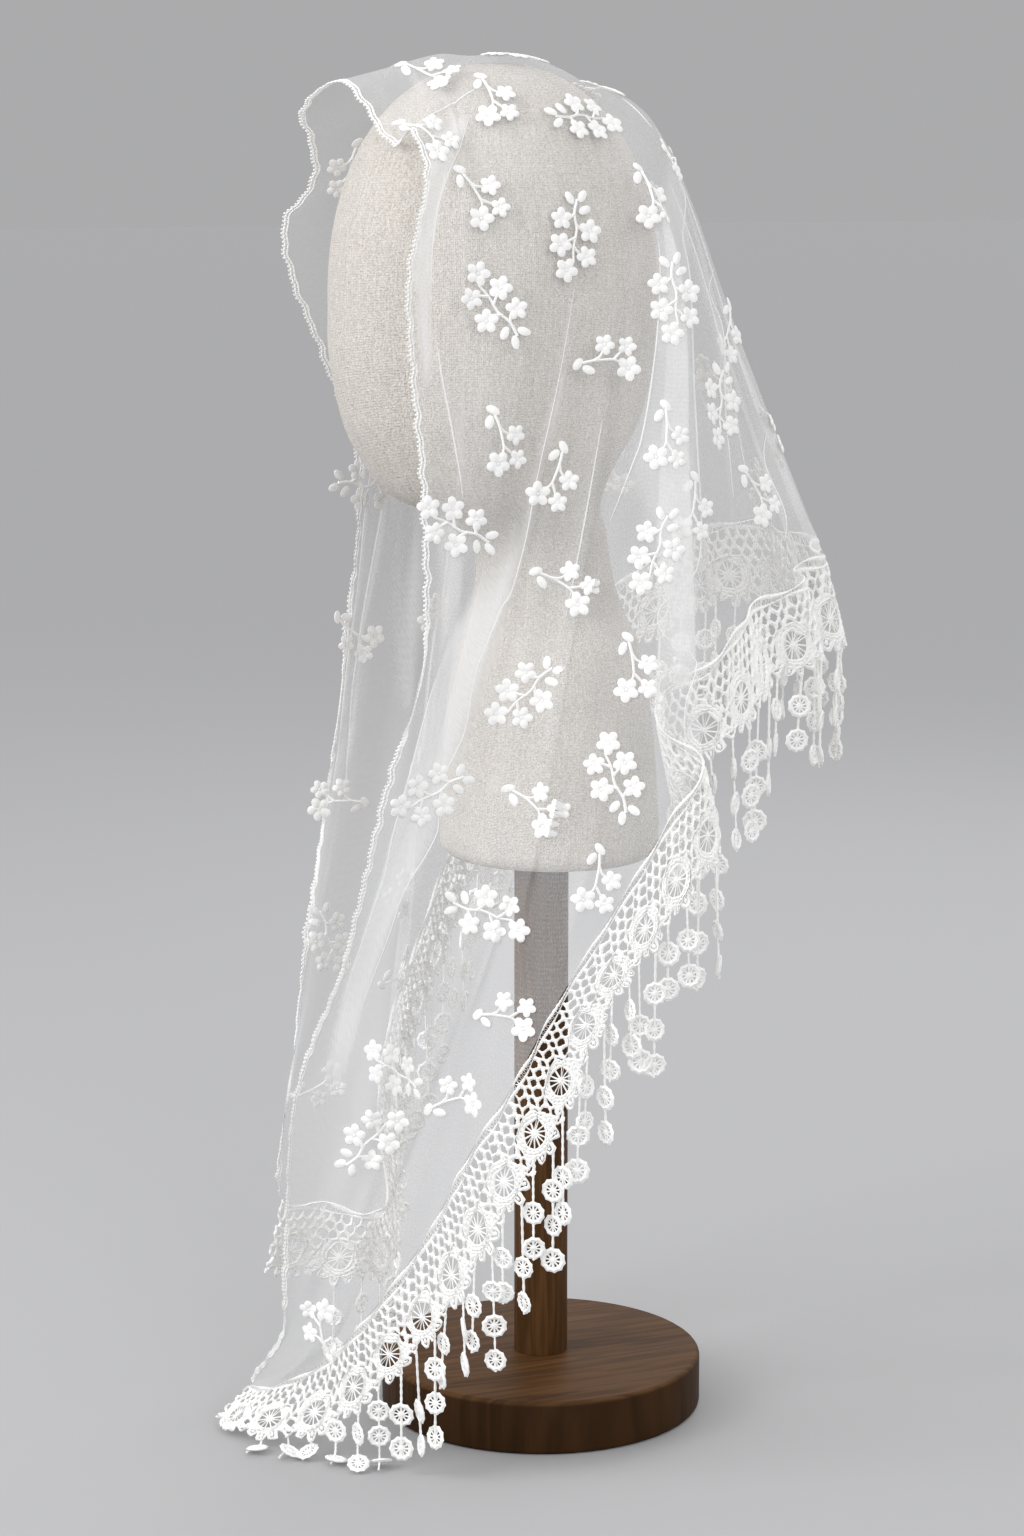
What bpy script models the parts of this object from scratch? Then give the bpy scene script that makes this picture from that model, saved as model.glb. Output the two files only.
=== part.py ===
"""A triangle lace veil draped over a linen head form on a pole and a round base.

Metres, +Z up. The origin is the middle of the base's underside. The form faces -Y and
its left side is +X. The veil is a triangle: its long plain side frames
the face, its corner hangs at the back, and its two legs carry a crochet lace border.
"""
import math
from collections import namedtuple

import bmesh
import bpy
import numpy as np
from mathutils import Vector
from mathutils.geometry import delaunay_2d_cdt

SEAM = 0.0003  # clear space between two pieces that touch
NEAR, FAR = 1, -1
CREASE_ANGLE = 45.0  # degrees; sharper edges are shaded flat

# Stand
BASE_RADIUS = 0.090
BASE_HEIGHT = 0.030
BASE_ROUND = 0.0025
POLE_RADIUS = 0.015
FORM_BOTTOM = 0.317
BASE_SIDES = 48
FORM_SIDES = 24

# Head: a rounded dome over a table of oval sections that narrows to the neck
DOME_HEIGHT = 0.620
HEAD_TOP = 0.745
DOME_CENTRE = -0.0275
DOME_HALF_WIDTH = 0.076
DOME_HALF_DEPTH = 0.0910
DOME_POWER = 2.2
DOME_RINGS = 7
DOME_TOP_RING = 0.97  # the last ring's place, as a share of the quarter turn to the top
Section = namedtuple("Section", "height centre half_width half_depth")
FORM_SECTIONS = (
    Section(0.620, -0.0275, 0.0760, 0.0910),
    Section(0.596, -0.0285, 0.0750, 0.0900),
    Section(0.572, -0.0290, 0.0715, 0.0860),
    Section(0.552, -0.0295, 0.0665, 0.0800),
    Section(0.534, -0.0300, 0.0590, 0.0700),
    Section(0.518, -0.0270, 0.0500, 0.0600),
    Section(0.507, -0.0170, 0.0430, 0.0480),
    Section(0.496, -0.0050, 0.0390, 0.0395),
    Section(0.482, 0.0000, 0.0370, 0.0365),
    Section(0.462, 0.0020, 0.0395, 0.0390),
    Section(0.447, 0.0030, 0.0455, 0.0440),
    Section(0.432, 0.0035, 0.0530, 0.0500),
    Section(0.402, 0.0040, 0.0590, 0.0550),
    Section(0.348, 0.0045, 0.0625, 0.0595),
    Section(0.324, 0.0045, 0.0630, 0.0600),
    Section(0.319, 0.0045, 0.0615, 0.0585),
    Section(FORM_BOTTOM, 0.0045, 0.0580, 0.0550),
)

# Flat cut of the veil
HALF_LONG_SIDE = 0.80
DEPTH = 0.56
BORDER_WIDTH = 0.050
TIP_ANGLE = math.atan2(DEPTH, HALF_LONG_SIDE)
NET_HALF_SIDE = HALF_LONG_SIDE - BORDER_WIDTH / math.sin(TIP_ANGLE)
NET_LEG = NET_HALF_SIDE / math.cos(TIP_ANGLE)
BORDER_LEG = HALF_LONG_SIDE / math.cos(TIP_ANGLE)
NET_WALL = 0.0010
BORDER_WALL = 0.0012
SEAM_GAP = 0.0011  # between the net's edge and the border's header
CORNER_GAP = 0.0017  # from each border's end to the back corner's middle

# Lace repeat: one wheel with its scallop
REPEATS = 28
PITCH = BORDER_LEG / REPEATS
Gap = namedtuple("Gap", "along down half_length half_height")
LACE_GAPS = (
    Gap(0.25, 0.0105, 0.0031, 0.0031),
    Gap(0.75, 0.0105, 0.0031, 0.0031),
    Gap(0.00, 0.0205, 0.0036, 0.0036),
    Gap(0.00, 0.0345, 0.0044, 0.0056),
)
TIP_TRIM = 0.0020  # how much narrower the border is at its tip
SCALLOP = ((0.25, 0.0490), (0.50, 0.0500), (0.75, 0.0490), (1.00, 0.0445))

# Braid along the plain side
BRAID_WIDTH = 0.0036
BRAID_THICK = 0.0024
BRAID_GAP = 0.0008
BRAID_STOP = 0.045  # how far short of the border the braid stops, at least

# Fringe
STRIP_GAP = 0.0007
STRIP_WIDTH = 0.0014
STRIP_THICK = 0.0014
ROOT_WIDTH = 0.0016
STRAND_LENGTH = 0.062
STRAND_SPACING = 0.0145  # least level distance between neighbouring strands
STRAND_WIDTH = 0.0014
STRAND_THICK = 0.0012
FLOOR_CLEAR = 0.0035
FLOOR_REACH = 0.022  # how far sideways a strand ends whose root is at the floor
NEAR_LEAN = 0.5  # how much such a strand turns toward the near side
DISC_WIDTH = 0.0110
Ring = namedtuple("Ring", "share width")
STRAND_RINGS = (
    Ring(0.20, STRAND_WIDTH),
    Ring(0.38, DISC_WIDTH),
    Ring(0.56, STRAND_WIDTH),
    Ring(0.88, DISC_WIDTH),
    Ring(1.00, STRAND_WIDTH),
)

# Drape. `edge` is the distance along the net's outline from the middle of the plain
# side. `shoulder` is where the cloth leaves the head, `hem` is where the net ends and
# `outer` where the border ends, on the legs only. `middle` and `low` are points that the
# cloth passes between shoulder and hem where it doesn't fall straight.
CLOTH_CLEAR = 0.0048
CROWN = (0.0, -0.0275, 0.7500)
Fold = namedtuple("Fold", "edge shoulder hem outer middle low", defaults=(None, None))
FRONT_MIDDLE = Fold(0.0, (0.000, -0.060, 0.7490), (0.000, -0.110, 0.735), None)
BACK_CORNER = Fold(
    NET_HALF_SIDE + NET_LEG, (0.000, 0.058, 0.7190), (0.000, 0.168, 0.485), (0.001, 0.189, 0.409)
)
NEAR_PLAIN_SIDE = (
    Fold(0.046, (0.016, -0.058, 0.742), (0.030, -0.095, 0.704), None),
    Fold(0.069, (0.026, -0.060, 0.738), (0.050, -0.092, 0.710), None),
    Fold(0.090, (0.036, -0.060, 0.728), (0.063, -0.089, 0.694), None),
    Fold(0.110, (0.045, -0.060, 0.716), (0.072, -0.093, 0.678), None),
    Fold(0.155, (0.060, -0.060, 0.690), (0.078, -0.104, 0.635), None),
    Fold(0.200, (0.068, -0.059, 0.668), (0.080, -0.103, 0.590), None),
    Fold(0.260, (0.072, -0.054, 0.652), (0.085, -0.099, 0.525), None),
    Fold(0.340, (0.076, -0.050, 0.643), (0.088, -0.101, 0.443), None),
    Fold(
        0.420, (0.078, -0.045, 0.637), (0.085, -0.121, 0.371), None,
        middle=(0.087, -0.076, 0.500), low=(0.087, -0.097, 0.428),
    ),
    Fold(
        0.510, (0.080, -0.040, 0.633), (0.070, -0.140, 0.280), None,
        middle=(0.086, -0.083, 0.450), low=(0.080, -0.113, 0.350),
    ),
    Fold(
        0.580, (0.081, -0.036, 0.631), (0.048, -0.161, 0.200), None,
        middle=(0.084, -0.092, 0.400), low=(0.068, -0.132, 0.270),
    ),
    Fold(
        0.630, (0.081, -0.033, 0.630), (0.028, -0.160, 0.109), None,
        middle=(0.082, -0.099, 0.350), low=(0.058, -0.134, 0.205),
    ),
    Fold(
        0.665, (0.081, -0.030, 0.629), (0.013, -0.1575, 0.063), None,
        middle=(0.077, -0.108, 0.260), low=(0.039, -0.146, 0.120),
    ),
    Fold(
        0.690, (0.081, -0.028, 0.628), (-0.010, -0.1595, 0.040), None,
        middle=(0.076, -0.102, 0.260), low=(0.0255, -0.1488, 0.072),
    ),
)
NEAR_LEG = (
    Fold(
        0.713, (0.081, -0.025, 0.628), (-0.034, -0.161, 0.019), (-0.026, -0.189, 0.002),
        middle=(0.0765, -0.098, 0.260), low=(0.0262, -0.1500, 0.058),
    ),
    Fold(
        0.750, (0.081, -0.020, 0.628), (0.000, -0.158, 0.029), (0.004, -0.182, 0.002),
        middle=(0.080, -0.090, 0.260), low=(0.0330, -0.1463, 0.061),
    ),
    Fold(
        0.795, (0.081, -0.014, 0.628), (0.034, -0.141, 0.052), (0.046, -0.149, 0.010),
        middle=(0.088, -0.080, 0.280), low=(0.050, -0.130, 0.090),
    ),
    Fold(
        0.845, (0.081, -0.006, 0.629), (0.063, -0.124, 0.087), (0.088, -0.111, 0.058),
        middle=(0.094, -0.066, 0.310),
    ),
    Fold(
        0.895, (0.081, 0.001, 0.630), (0.083, -0.100, 0.132), (0.108, -0.090, 0.096),
        middle=(0.099, -0.052, 0.345),
    ),
    Fold(
        0.945, (0.081, 0.008, 0.631), (0.106, -0.085, 0.181), (0.130, -0.065, 0.153),
        middle=(0.106, -0.039, 0.380),
    ),
    Fold(0.990, (0.080, 0.015, 0.632), (0.118, -0.066, 0.218), (0.140, -0.043, 0.195)),
    Fold(1.040, (0.080, 0.022, 0.634), (0.126, -0.041, 0.267), (0.146, -0.017, 0.261)),
    Fold(1.090, (0.080, 0.029, 0.637), (0.131, -0.006, 0.322), (0.147, 0.006, 0.291)),
    Fold(1.135, (0.080, 0.036, 0.642), (0.133, 0.017, 0.358), (0.145, 0.029, 0.318)),
    Fold(1.168, (0.0795, 0.043, 0.648), (0.124, 0.040, 0.385), (0.131, 0.049, 0.337)),
    Fold(1.200, (0.0715, 0.0415, 0.655), (0.104, 0.024, 0.402), (0.111, 0.032, 0.353)),
    Fold(1.232, (0.0655, 0.0405, 0.662), (0.089, 0.032, 0.418), (0.093, 0.041, 0.368)),
    Fold(1.270, (0.064, 0.044, 0.670), (0.103, 0.052, 0.433), (0.114, 0.060, 0.384)),
    Fold(1.320, (0.057, 0.048, 0.680), (0.084, 0.081, 0.452), (0.093, 0.092, 0.402)),
    Fold(1.368, (0.049, 0.048, 0.690), (0.072, 0.095, 0.461), (0.076, 0.107, 0.411)),
    Fold(1.415, (0.041, 0.053, 0.699), (0.064, 0.127, 0.469), (0.068, 0.140, 0.417)),
    Fold(1.460, (0.031, 0.054, 0.706), (0.042, 0.132, 0.475), (0.045, 0.144, 0.420)),
    Fold(1.505, (0.021, 0.057, 0.712), (0.033, 0.155, 0.479), (0.034, 0.171, 0.420)),
    Fold(1.545, (0.010, 0.057, 0.717), (0.014, 0.156, 0.482), (0.015, 0.175, 0.416)),
)
FAR_PLAIN_SIDE = (
    Fold(0.045, (-0.016, -0.058, 0.743), (-0.040, -0.120, 0.720), None),
    Fold(0.070, (-0.026, -0.060, 0.738), (-0.055, -0.109, 0.701), None),
    Fold(0.095, (-0.038, -0.060, 0.726), (-0.066, -0.106, 0.681), None),
    Fold(0.120, (-0.050, -0.060, 0.708), (-0.075, -0.119, 0.660), None),
    Fold(0.150, (-0.059, -0.060, 0.692), (-0.080, -0.113, 0.630), None),
    Fold(0.190, (-0.067, -0.059, 0.668), (-0.080, -0.098, 0.594), None),
    Fold(0.260, (-0.073, -0.054, 0.648), (-0.080, -0.076, 0.527), None),
    Fold(0.360, (-0.077, -0.049, 0.640), (-0.085, -0.084, 0.420), None),
    Fold(0.470, (-0.079, -0.043, 0.635), (-0.088, -0.098, 0.315), None),
    Fold(0.580, (-0.080, -0.037, 0.632), (-0.088, -0.114, 0.206), None),
)
FAR_LEG = (
    Fold(0.713, (-0.081, -0.029, 0.630), (-0.089, -0.124, 0.106), (-0.091, -0.136, 0.056)),
    Fold(0.745, (-0.081, -0.024, 0.630), (-0.096, -0.098, 0.100), (-0.098, -0.110, 0.050)),
    Fold(0.775, (-0.081, -0.019, 0.630), (-0.085, -0.074, 0.094), (-0.088, -0.082, 0.046)),
    Fold(0.808, (-0.081, -0.013, 0.630), (-0.100, -0.056, 0.096), (-0.108, -0.050, 0.047)),
    Fold(0.865, (-0.081, -0.005, 0.631), (-0.104, -0.060, 0.148), (-0.128, -0.038, 0.118)),
    Fold(0.920, (-0.081, 0.003, 0.632), (-0.108, -0.052, 0.196), (-0.136, -0.026, 0.168)),
    Fold(0.975, (-0.081, 0.011, 0.634), (-0.112, -0.034, 0.240), (-0.140, -0.006, 0.216)),
    Fold(1.030, (-0.080, 0.019, 0.636), (-0.120, -0.012, 0.288), (-0.144, 0.014, 0.260)),
    Fold(1.085, (-0.080, 0.028, 0.640), (-0.127, 0.014, 0.336), (-0.146, 0.034, 0.300)),
    Fold(1.122, (-0.0795, 0.0355, 0.645), (-0.127, 0.036, 0.366), (-0.140, 0.050, 0.322)),
    Fold(1.160, (-0.074, 0.0375, 0.652), (-0.108, 0.030, 0.390), (-0.114, 0.040, 0.342)),
    Fold(1.198, (-0.068, 0.036, 0.660), (-0.098, 0.046, 0.412), (-0.104, 0.058, 0.363)),
    Fold(1.240, (-0.066, 0.046, 0.668), (-0.108, 0.074, 0.434), (-0.118, 0.087, 0.386)),
    Fold(1.290, (-0.056, 0.047, 0.680), (-0.088, 0.092, 0.458), (-0.094, 0.104, 0.409)),
    Fold(1.345, (-0.049, 0.052, 0.690), (-0.080, 0.124, 0.478), (-0.085, 0.138, 0.429)),
    Fold(1.400, (-0.038, 0.051, 0.701), (-0.056, 0.128, 0.488), (-0.059, 0.141, 0.437)),
    Fold(1.455, (-0.027, 0.056, 0.709), (-0.042, 0.152, 0.492), (-0.044, 0.166, 0.434)),
    Fold(1.520, (-0.013, 0.057, 0.715), (-0.018, 0.154, 0.488), (-0.018, 0.170, 0.424)),
)
PLAIN_SIDE_STATIONS = (
    0.0, 0.023, 0.046, 0.058, 0.069, 0.080, 0.092, 0.108, 0.130, 0.155, 0.180, 0.210, 0.245,
    0.285, 0.330, 0.380, 0.430, 0.480, 0.530, 0.580, 0.620, 0.650, 0.680,
)
LEG_STATIONS = tuple(
    NET_HALF_SIDE + NET_LEG * step / (2 * REPEATS) for step in range(2 * REPEATS + 1)
)
SPAN_STEPS = 12
HEAD_SHARES = (0.0, 0.28, 0.55, 0.80, 1.0)  # rows from the crown to the shoulder
FALL_SHARES = (0.25, 0.50, 0.76, 1.0)  # rows from the shoulder to the low point
END_SHARES = (0.5, 1.0)  # rows from the low point to the hem
HEM_ROW = len(HEAD_SHARES) + len(FALL_SHARES) + len(END_SHARES) - 1


def clear_scene():
    for obj in list(bpy.data.objects):
        bpy.data.objects.remove(obj, do_unlink=True)


def material(name, colour, roughness):
    made = bpy.data.materials.new(name)
    made.use_nodes = True
    shader = made.node_tree.nodes["Principled BSDF"]
    shader.inputs["Base Color"].default_value = (*colour, 1.0)
    shader.inputs["Roughness"].default_value = roughness
    shader.inputs["Metallic"].default_value = 0.0
    made.diffuse_color = (*colour, 1.0)
    return made


def solid(name, points, faces, made_of, smooth=True):
    """One named object from closed faces, turned to face outward."""
    mesh = bpy.data.meshes.new(name)
    mesh.from_pydata([tuple(point) for point in points], [], faces)
    work = bmesh.new()
    work.from_mesh(mesh)
    bmesh.ops.recalc_face_normals(work, faces=work.faces)
    work.to_mesh(mesh)
    work.free()
    mesh.materials.append(made_of)
    if smooth:
        mesh.shade_smooth()
        mesh.set_sharp_from_angle(angle=math.radians(CREASE_ANGLE))
    obj = bpy.data.objects.new(name, mesh)
    bpy.context.collection.objects.link(obj)
    return obj


def turned(name, rings, sides, made_of):
    """A closed solid through oval rings given as (height, centre y, half width, half depth)."""
    points = []
    for height, centre, half_width, half_depth in rings:
        for side in range(sides):
            angle = math.tau * side / sides
            points.append((half_width * math.cos(angle), centre + half_depth * math.sin(angle), height))
    faces = []
    for ring in range(len(rings) - 1):
        for side in range(sides):
            following = (side + 1) % sides
            low, high = ring * sides, (ring + 1) * sides
            faces.append((low + side, low + following, high + following, high + side))
    faces.append(tuple(range(sides)))
    faces.append(tuple(range((len(rings) - 1) * sides, len(rings) * sides)))
    return solid(name, points, faces, made_of)


def add_stand(wood):
    rings = [(0.0, BASE_RADIUS - BASE_ROUND / 2), (BASE_ROUND / 2, BASE_RADIUS)]
    for angle in (0.0, math.pi / 4, math.pi / 2):
        height = BASE_HEIGHT - BASE_ROUND * (1 - math.sin(angle))
        rings.append((height, BASE_RADIUS - BASE_ROUND * (1 - math.cos(angle))))
    turned("base", [(height, 0.0, radius, radius) for height, radius in rings], BASE_SIDES, wood)
    ends = (BASE_HEIGHT + SEAM, FORM_BOTTOM - SEAM)
    turned("pole", [(height, 0.0, POLE_RADIUS, POLE_RADIUS) for height in ends], FORM_SIDES, wood)


def dome_scale(share):
    """How wide the dome is, as a share of its width, at a share of its height."""
    return (1.0 - share**DOME_POWER) ** (1.0 / DOME_POWER)


def add_head_form(linen):
    rings = [
        (part.height, part.centre, part.half_width, part.half_depth)
        for part in reversed(FORM_SECTIONS)
    ]
    for ring in range(1, DOME_RINGS + 1):
        share = math.sin(math.pi / 2 * min(ring / DOME_RINGS, DOME_TOP_RING))
        scale = dome_scale(share)
        height = DOME_HEIGHT + (HEAD_TOP - DOME_HEIGHT) * share
        rings.append((height, DOME_CENTRE, DOME_HALF_WIDTH * scale, DOME_HALF_DEPTH * scale))
    turned("head_form", rings, FORM_SIDES, linen)


def form_section(height):
    """Centre and half sizes of the form at a height below the dome."""
    for upper, lower in zip(FORM_SECTIONS, FORM_SECTIONS[1:]):
        if height >= lower.height:
            share = (height - lower.height) / (upper.height - lower.height)
            return [low + (high - low) * share for high, low in zip(upper[1:], lower[1:])]
    return None


def clear_of_form(point):
    """The point, moved out where it lies in the form or too close to it."""
    x, y, z = point
    if z >= DOME_HEIGHT:
        radial = math.hypot(x / DOME_HALF_WIDTH, (y - DOME_CENTRE) / DOME_HALF_DEPTH)
        upward = (z - DOME_HEIGHT) / (HEAD_TOP - DOME_HEIGHT)
        size = (radial**DOME_POWER + upward**DOME_POWER) ** (1.0 / DOME_POWER)
        least = 1.0 + CLOTH_CLEAR / DOME_HALF_DEPTH
        if size >= least:
            return np.array(point)
        centre = np.array((0.0, DOME_CENTRE, DOME_HEIGHT))
        return centre + (np.array(point) - centre) * least / max(size, 1e-6)
    section = form_section(z)
    if section is None:
        return np.array(point)
    centre, half_width, half_depth = section
    size = math.hypot(x / half_width, (y - centre) / half_depth)
    least = 1.0 + CLOTH_CLEAR / half_depth
    if size >= least:
        return np.array(point)
    return np.array((x * least / size, centre + (y - centre) * least / size, z))


def drape_table():
    """All folds round the outline, from the back corner along the far side and back again."""
    rows = []
    for side, parts in ((FAR, FAR_PLAIN_SIDE + FAR_LEG), (NEAR, NEAR_PLAIN_SIDE + NEAR_LEG)):
        for fold in parts + (BACK_CORNER,):
            rows.append(table_row(fold, side))
    rows.append(table_row(FRONT_MIDDLE, NEAR))
    return np.array(sorted(rows))


def table_row(fold, side):
    middle = fold.middle or halfway(fold.shoulder, fold.hem)
    low = fold.low or halfway(middle, fold.hem)
    return (side * fold.edge, *fold.shoulder, *middle, *low, *fold.hem)


def outer_table(folds):
    """The border's outer points along one leg, from its tip to the back corner."""
    return np.array([(fold.edge, *fold.outer) for fold in folds + (BACK_CORNER,)])


def halfway(first, second):
    return tuple((np.array(first) + np.array(second)) / 2)


def along_table(table, edge):
    """The table's points at a place on the outline, smoothly between folds, one row each."""
    keys = table[:, 0]
    values = table[:, 1:]
    index = int(np.clip(np.searchsorted(keys, edge) - 1, 0, len(keys) - 2))
    start, end = keys[index], keys[index + 1]
    slopes = []
    for row in (index, index + 1):
        before, after = max(row - 1, 0), min(row + 1, len(keys) - 1)
        slopes.append((values[after] - values[before]) / (keys[after] - keys[before]))
    width = end - start
    t = (edge - start) / width
    result = (
        (2 * t**3 - 3 * t**2 + 1) * values[index]
        + (t**3 - 2 * t**2 + t) * width * slopes[0]
        + (3 * t**2 - 2 * t**3) * values[index + 1]
        + (t**3 - t**2) * width * slopes[1]
    )
    return result.reshape(-1, 3)


def smooth_through(points, steps):
    """A smooth curve through points, with the same number of steps in each span."""
    points = np.array(points)
    gaps = np.maximum(np.linalg.norm(np.diff(points, axis=0), axis=1), 1e-6)
    keys = np.concatenate(([0.0], np.cumsum(gaps)))
    curve = []
    for index in range(len(points) - 1):
        slopes = []
        for row in (index, index + 1):
            before, after = max(row - 1, 0), min(row + 1, len(points) - 1)
            slopes.append((points[after] - points[before]) / (keys[after] - keys[before]))
        for step in range(steps):
            t = step / steps
            curve.append(
                (2 * t**3 - 3 * t**2 + 1) * points[index]
                + (t**3 - 2 * t**2 + t) * gaps[index] * slopes[0]
                + (3 * t**2 - 2 * t**3) * points[index + 1]
                + (t**3 - t**2) * gaps[index] * slopes[1]
            )
    curve.append(points[-1])
    return np.array(curve)


def column(table, edge):
    """Points of the net from the crown to its edge at one place on the outline."""
    shoulder, middle, low, hem = along_table(table, edge)
    crown = np.array(CROWN)
    over_dome = clear_of_form((crown + shoulder) / 2)
    curve = smooth_through([crown, over_dome, shoulder, middle, low, hem], SPAN_STEPS)
    curve = np.array([clear_of_form(point) for point in curve[:-1]] + [hem])
    at_shoulder = 2 * SPAN_STEPS
    at_low = 4 * SPAN_STEPS
    net = rows_along(curve[: at_shoulder + 1], HEAD_SHARES)
    net += rows_along(curve[at_shoulder: at_low + 1], FALL_SHARES)
    net += rows_along(curve[at_low:], END_SHARES)
    return net


def rows_along(curve, shares):
    """Points at shares of a curve's length."""
    lengths = np.concatenate(([0.0], np.cumsum(np.linalg.norm(np.diff(curve, axis=0), axis=1))))
    places = lengths / lengths[-1]
    return [
        np.array([np.interp(share, places, curve[:, axis]) for axis in range(3)]) for share in shares
    ]


def unit(vector):
    return vector / max(np.linalg.norm(vector), 1e-9)


def patch_normals(grid, used):
    """Unit normals of a closed ring of columns, from patches between two used columns."""
    count, rows = grid.shape[:2]
    normals = np.zeros_like(grid)
    for place in range(count):
        following = (place + 1) % count
        if not (used[place] and used[following]):
            continue
        for row in range(rows - 1):
            first = grid[following][row + 1] - grid[place][row]
            second = grid[following][row] - grid[place][row + 1]
            patch = np.cross(first, second)
            for corner in ((place, row), (place, row + 1), (following, row), (following, row + 1)):
                normals[corner] += patch
    return np.array([[unit(normal) for normal in column_of] for column_of in normals])


def evened(normals):
    """Unit normals with each one drawn halfway to its neighbours round the ring."""
    mixed = 2 * normals + np.roll(normals, 1, axis=0) + np.roll(normals, -1, axis=0)
    return np.array([[unit(normal) for normal in column_of] for column_of in mixed])


class Drape:
    """The veil's middle surface: columns of points, with the outward normal at each."""

    def __init__(self):
        table = drape_table()
        near = list(PLAIN_SIDE_STATIONS) + list(LEG_STATIONS)
        self.edges = [-edge for edge in reversed(near[1:])] + near
        self.edges = self.edges[:-1]  # the back corner is one column, the first
        self.net = np.array([column(table, edge) for edge in self.edges])
        legs = {NEAR: outer_table(NEAR_LEG), FAR: outer_table(FAR_LEG)}
        self.outer = self.net[:, HEM_ROW].copy()
        for place, edge in enumerate(self.edges):
            if self.has_border(place):
                side = NEAR if edge > 0 else FAR
                self.outer[place] = along_table(legs[side], abs(edge))[0]
        self.normals = self.find_normals()

    def find_normals(self):
        """Outward normals: the mean of the patches round a point, net and border counting alike."""
        border = np.stack([self.net[:, HEM_ROW], self.outer], axis=1)
        everywhere = [True] * len(self.edges)
        on_legs = [self.has_border(place) for place in range(len(self.edges))]
        net_normals = patch_normals(self.net, everywhere)
        border_normals = patch_normals(border, on_legs)
        net_normals[:, 0] = (0.0, 0.0, 1.0)
        net_normals = evened(net_normals)
        for place in range(len(self.edges)):
            if on_legs[place]:
                both = net_normals[place][HEM_ROW] + border_normals[place][0]
                net_normals[place][HEM_ROW] = unit(both)
        return np.concatenate([net_normals, border_normals[:, 1:]], axis=1)

    def has_border(self, place):
        return abs(self.edges[place]) >= NET_HALF_SIDE - 1e-6

    def leg_places(self, side):
        """The columns of one leg, from its tip to the back corner."""
        places = [
            place for place in range(len(self.edges))
            if self.edges[place] * side >= NET_HALF_SIDE - 1e-6 and place != 0
        ]
        if side == FAR:
            places = places[::-1]
        return places + [0]

    def border_point(self, side, along, down):
        """Point and outward normal on one border at flat lengths along and down it."""
        places = self.leg_places(side)
        spot = np.clip(along / BORDER_LEG, 0.0, 1.0) * (len(places) - 1)
        low = min(int(spot), len(places) - 2)
        share = spot - low
        first, second = places[low], places[low + 1]
        drop = down / BORDER_WIDTH
        ends = []
        for place in (first, second):
            ends.append(self.net[place][-1] + (self.outer[place] - self.net[place][-1]) * drop)
        point = ends[0] + (ends[1] - ends[0]) * share
        normals = []
        for row in (HEM_ROW, HEM_ROW + 1):
            normals.append(self.normals[first][row] * (1 - share) + self.normals[second][row] * share)
        return point, unit(normals[0] + (normals[1] - normals[0]) * min(drop, 1.0))


def add_net(drape, net_cloth):
    """The tulle triangle, a thin wall from the crown to its three sides."""
    count, rows = drape.net.shape[:2]
    points = []
    for face in (NET_WALL / 2, -NET_WALL / 2):
        points.append(np.array(CROWN) + np.array((0.0, 0.0, face)))
        for place in range(count):
            for row in range(1, rows):
                points.append(drape.net[place][row] + drape.normals[place][row] * face)
    layer = 1 + count * (rows - 1)

    def at(side, place, row):
        return side * layer + (0 if row == 0 else 1 + (place % count) * (rows - 1) + row - 1)

    faces = []
    for side in (0, 1):
        for place in range(count):
            faces.append((at(side, 0, 0), at(side, place, 1), at(side, place + 1, 1)))
            for row in range(1, rows - 1):
                start, end = at(side, place, row), at(side, place + 1, row + 1)
                faces.append((start, at(side, place, row + 1), end))
                faces.append((start, end, at(side, place + 1, row)))
    last = rows - 1
    for place in range(count):
        rim = [at(side, place, last) for side in (0, 1)]
        faces.append((*rim, at(1, place + 1, last), at(0, place + 1, last)))
    solid("tulle_ground", points, faces, net_cloth)


def gap_outline(repeat, gap):
    centre = (repeat + gap.along) * PITCH
    return [
        (centre + gap.half_length, gap.down),
        (centre, gap.down + gap.half_height),
        (centre - gap.half_length, gap.down),
        (centre, gap.down - gap.half_height),
    ]


def lace_pattern():
    """Flat points and triangles of one border, with its gaps left open."""
    outline = [(BORDER_LEG * step / (2 * REPEATS), SEAM_GAP) for step in range(2 * REPEATS, -1, -1)]
    outline.append((0.0, BORDER_WIDTH - TIP_TRIM))
    for repeat in range(REPEATS):
        outline += [((repeat + along) * PITCH, down) for along, down in SCALLOP]
    gaps = []
    for repeat in range(REPEATS):
        for gap in LACE_GAPS:
            if gap.along > 0 or repeat > 0:
                gaps.append(gap_outline(repeat, gap))
    flat = []
    edges = []
    for loop in [outline] + gaps:
        first = len(flat)
        flat += [Vector(point) for point in loop]
        edges += [(first + step, first + (step + 1) % len(loop)) for step in range(len(loop))]
    points, _, faces, _, _, _ = delaunay_2d_cdt(flat, edges, [], 0, 1e-7)
    kept = []
    for face in faces:
        middle = sum((points[corner] for corner in face), Vector((0.0, 0.0))) / 3
        if inside(middle, outline) and not any(inside(middle, gap) for gap in gaps):
            kept.append(tuple(face))
    return points, kept


def inside(point, loop):
    """Whether a flat point lies in a closed outline."""
    within = False
    for (x1, y1), (x2, y2) in zip(loop, loop[1:] + loop[:1]):
        if (y1 > point[1]) != (y2 > point[1]):
            crossing = x1 + (point[1] - y1) * (x2 - x1) / (y2 - y1)
            if point[0] < crossing:
                within = not within
    return within


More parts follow.
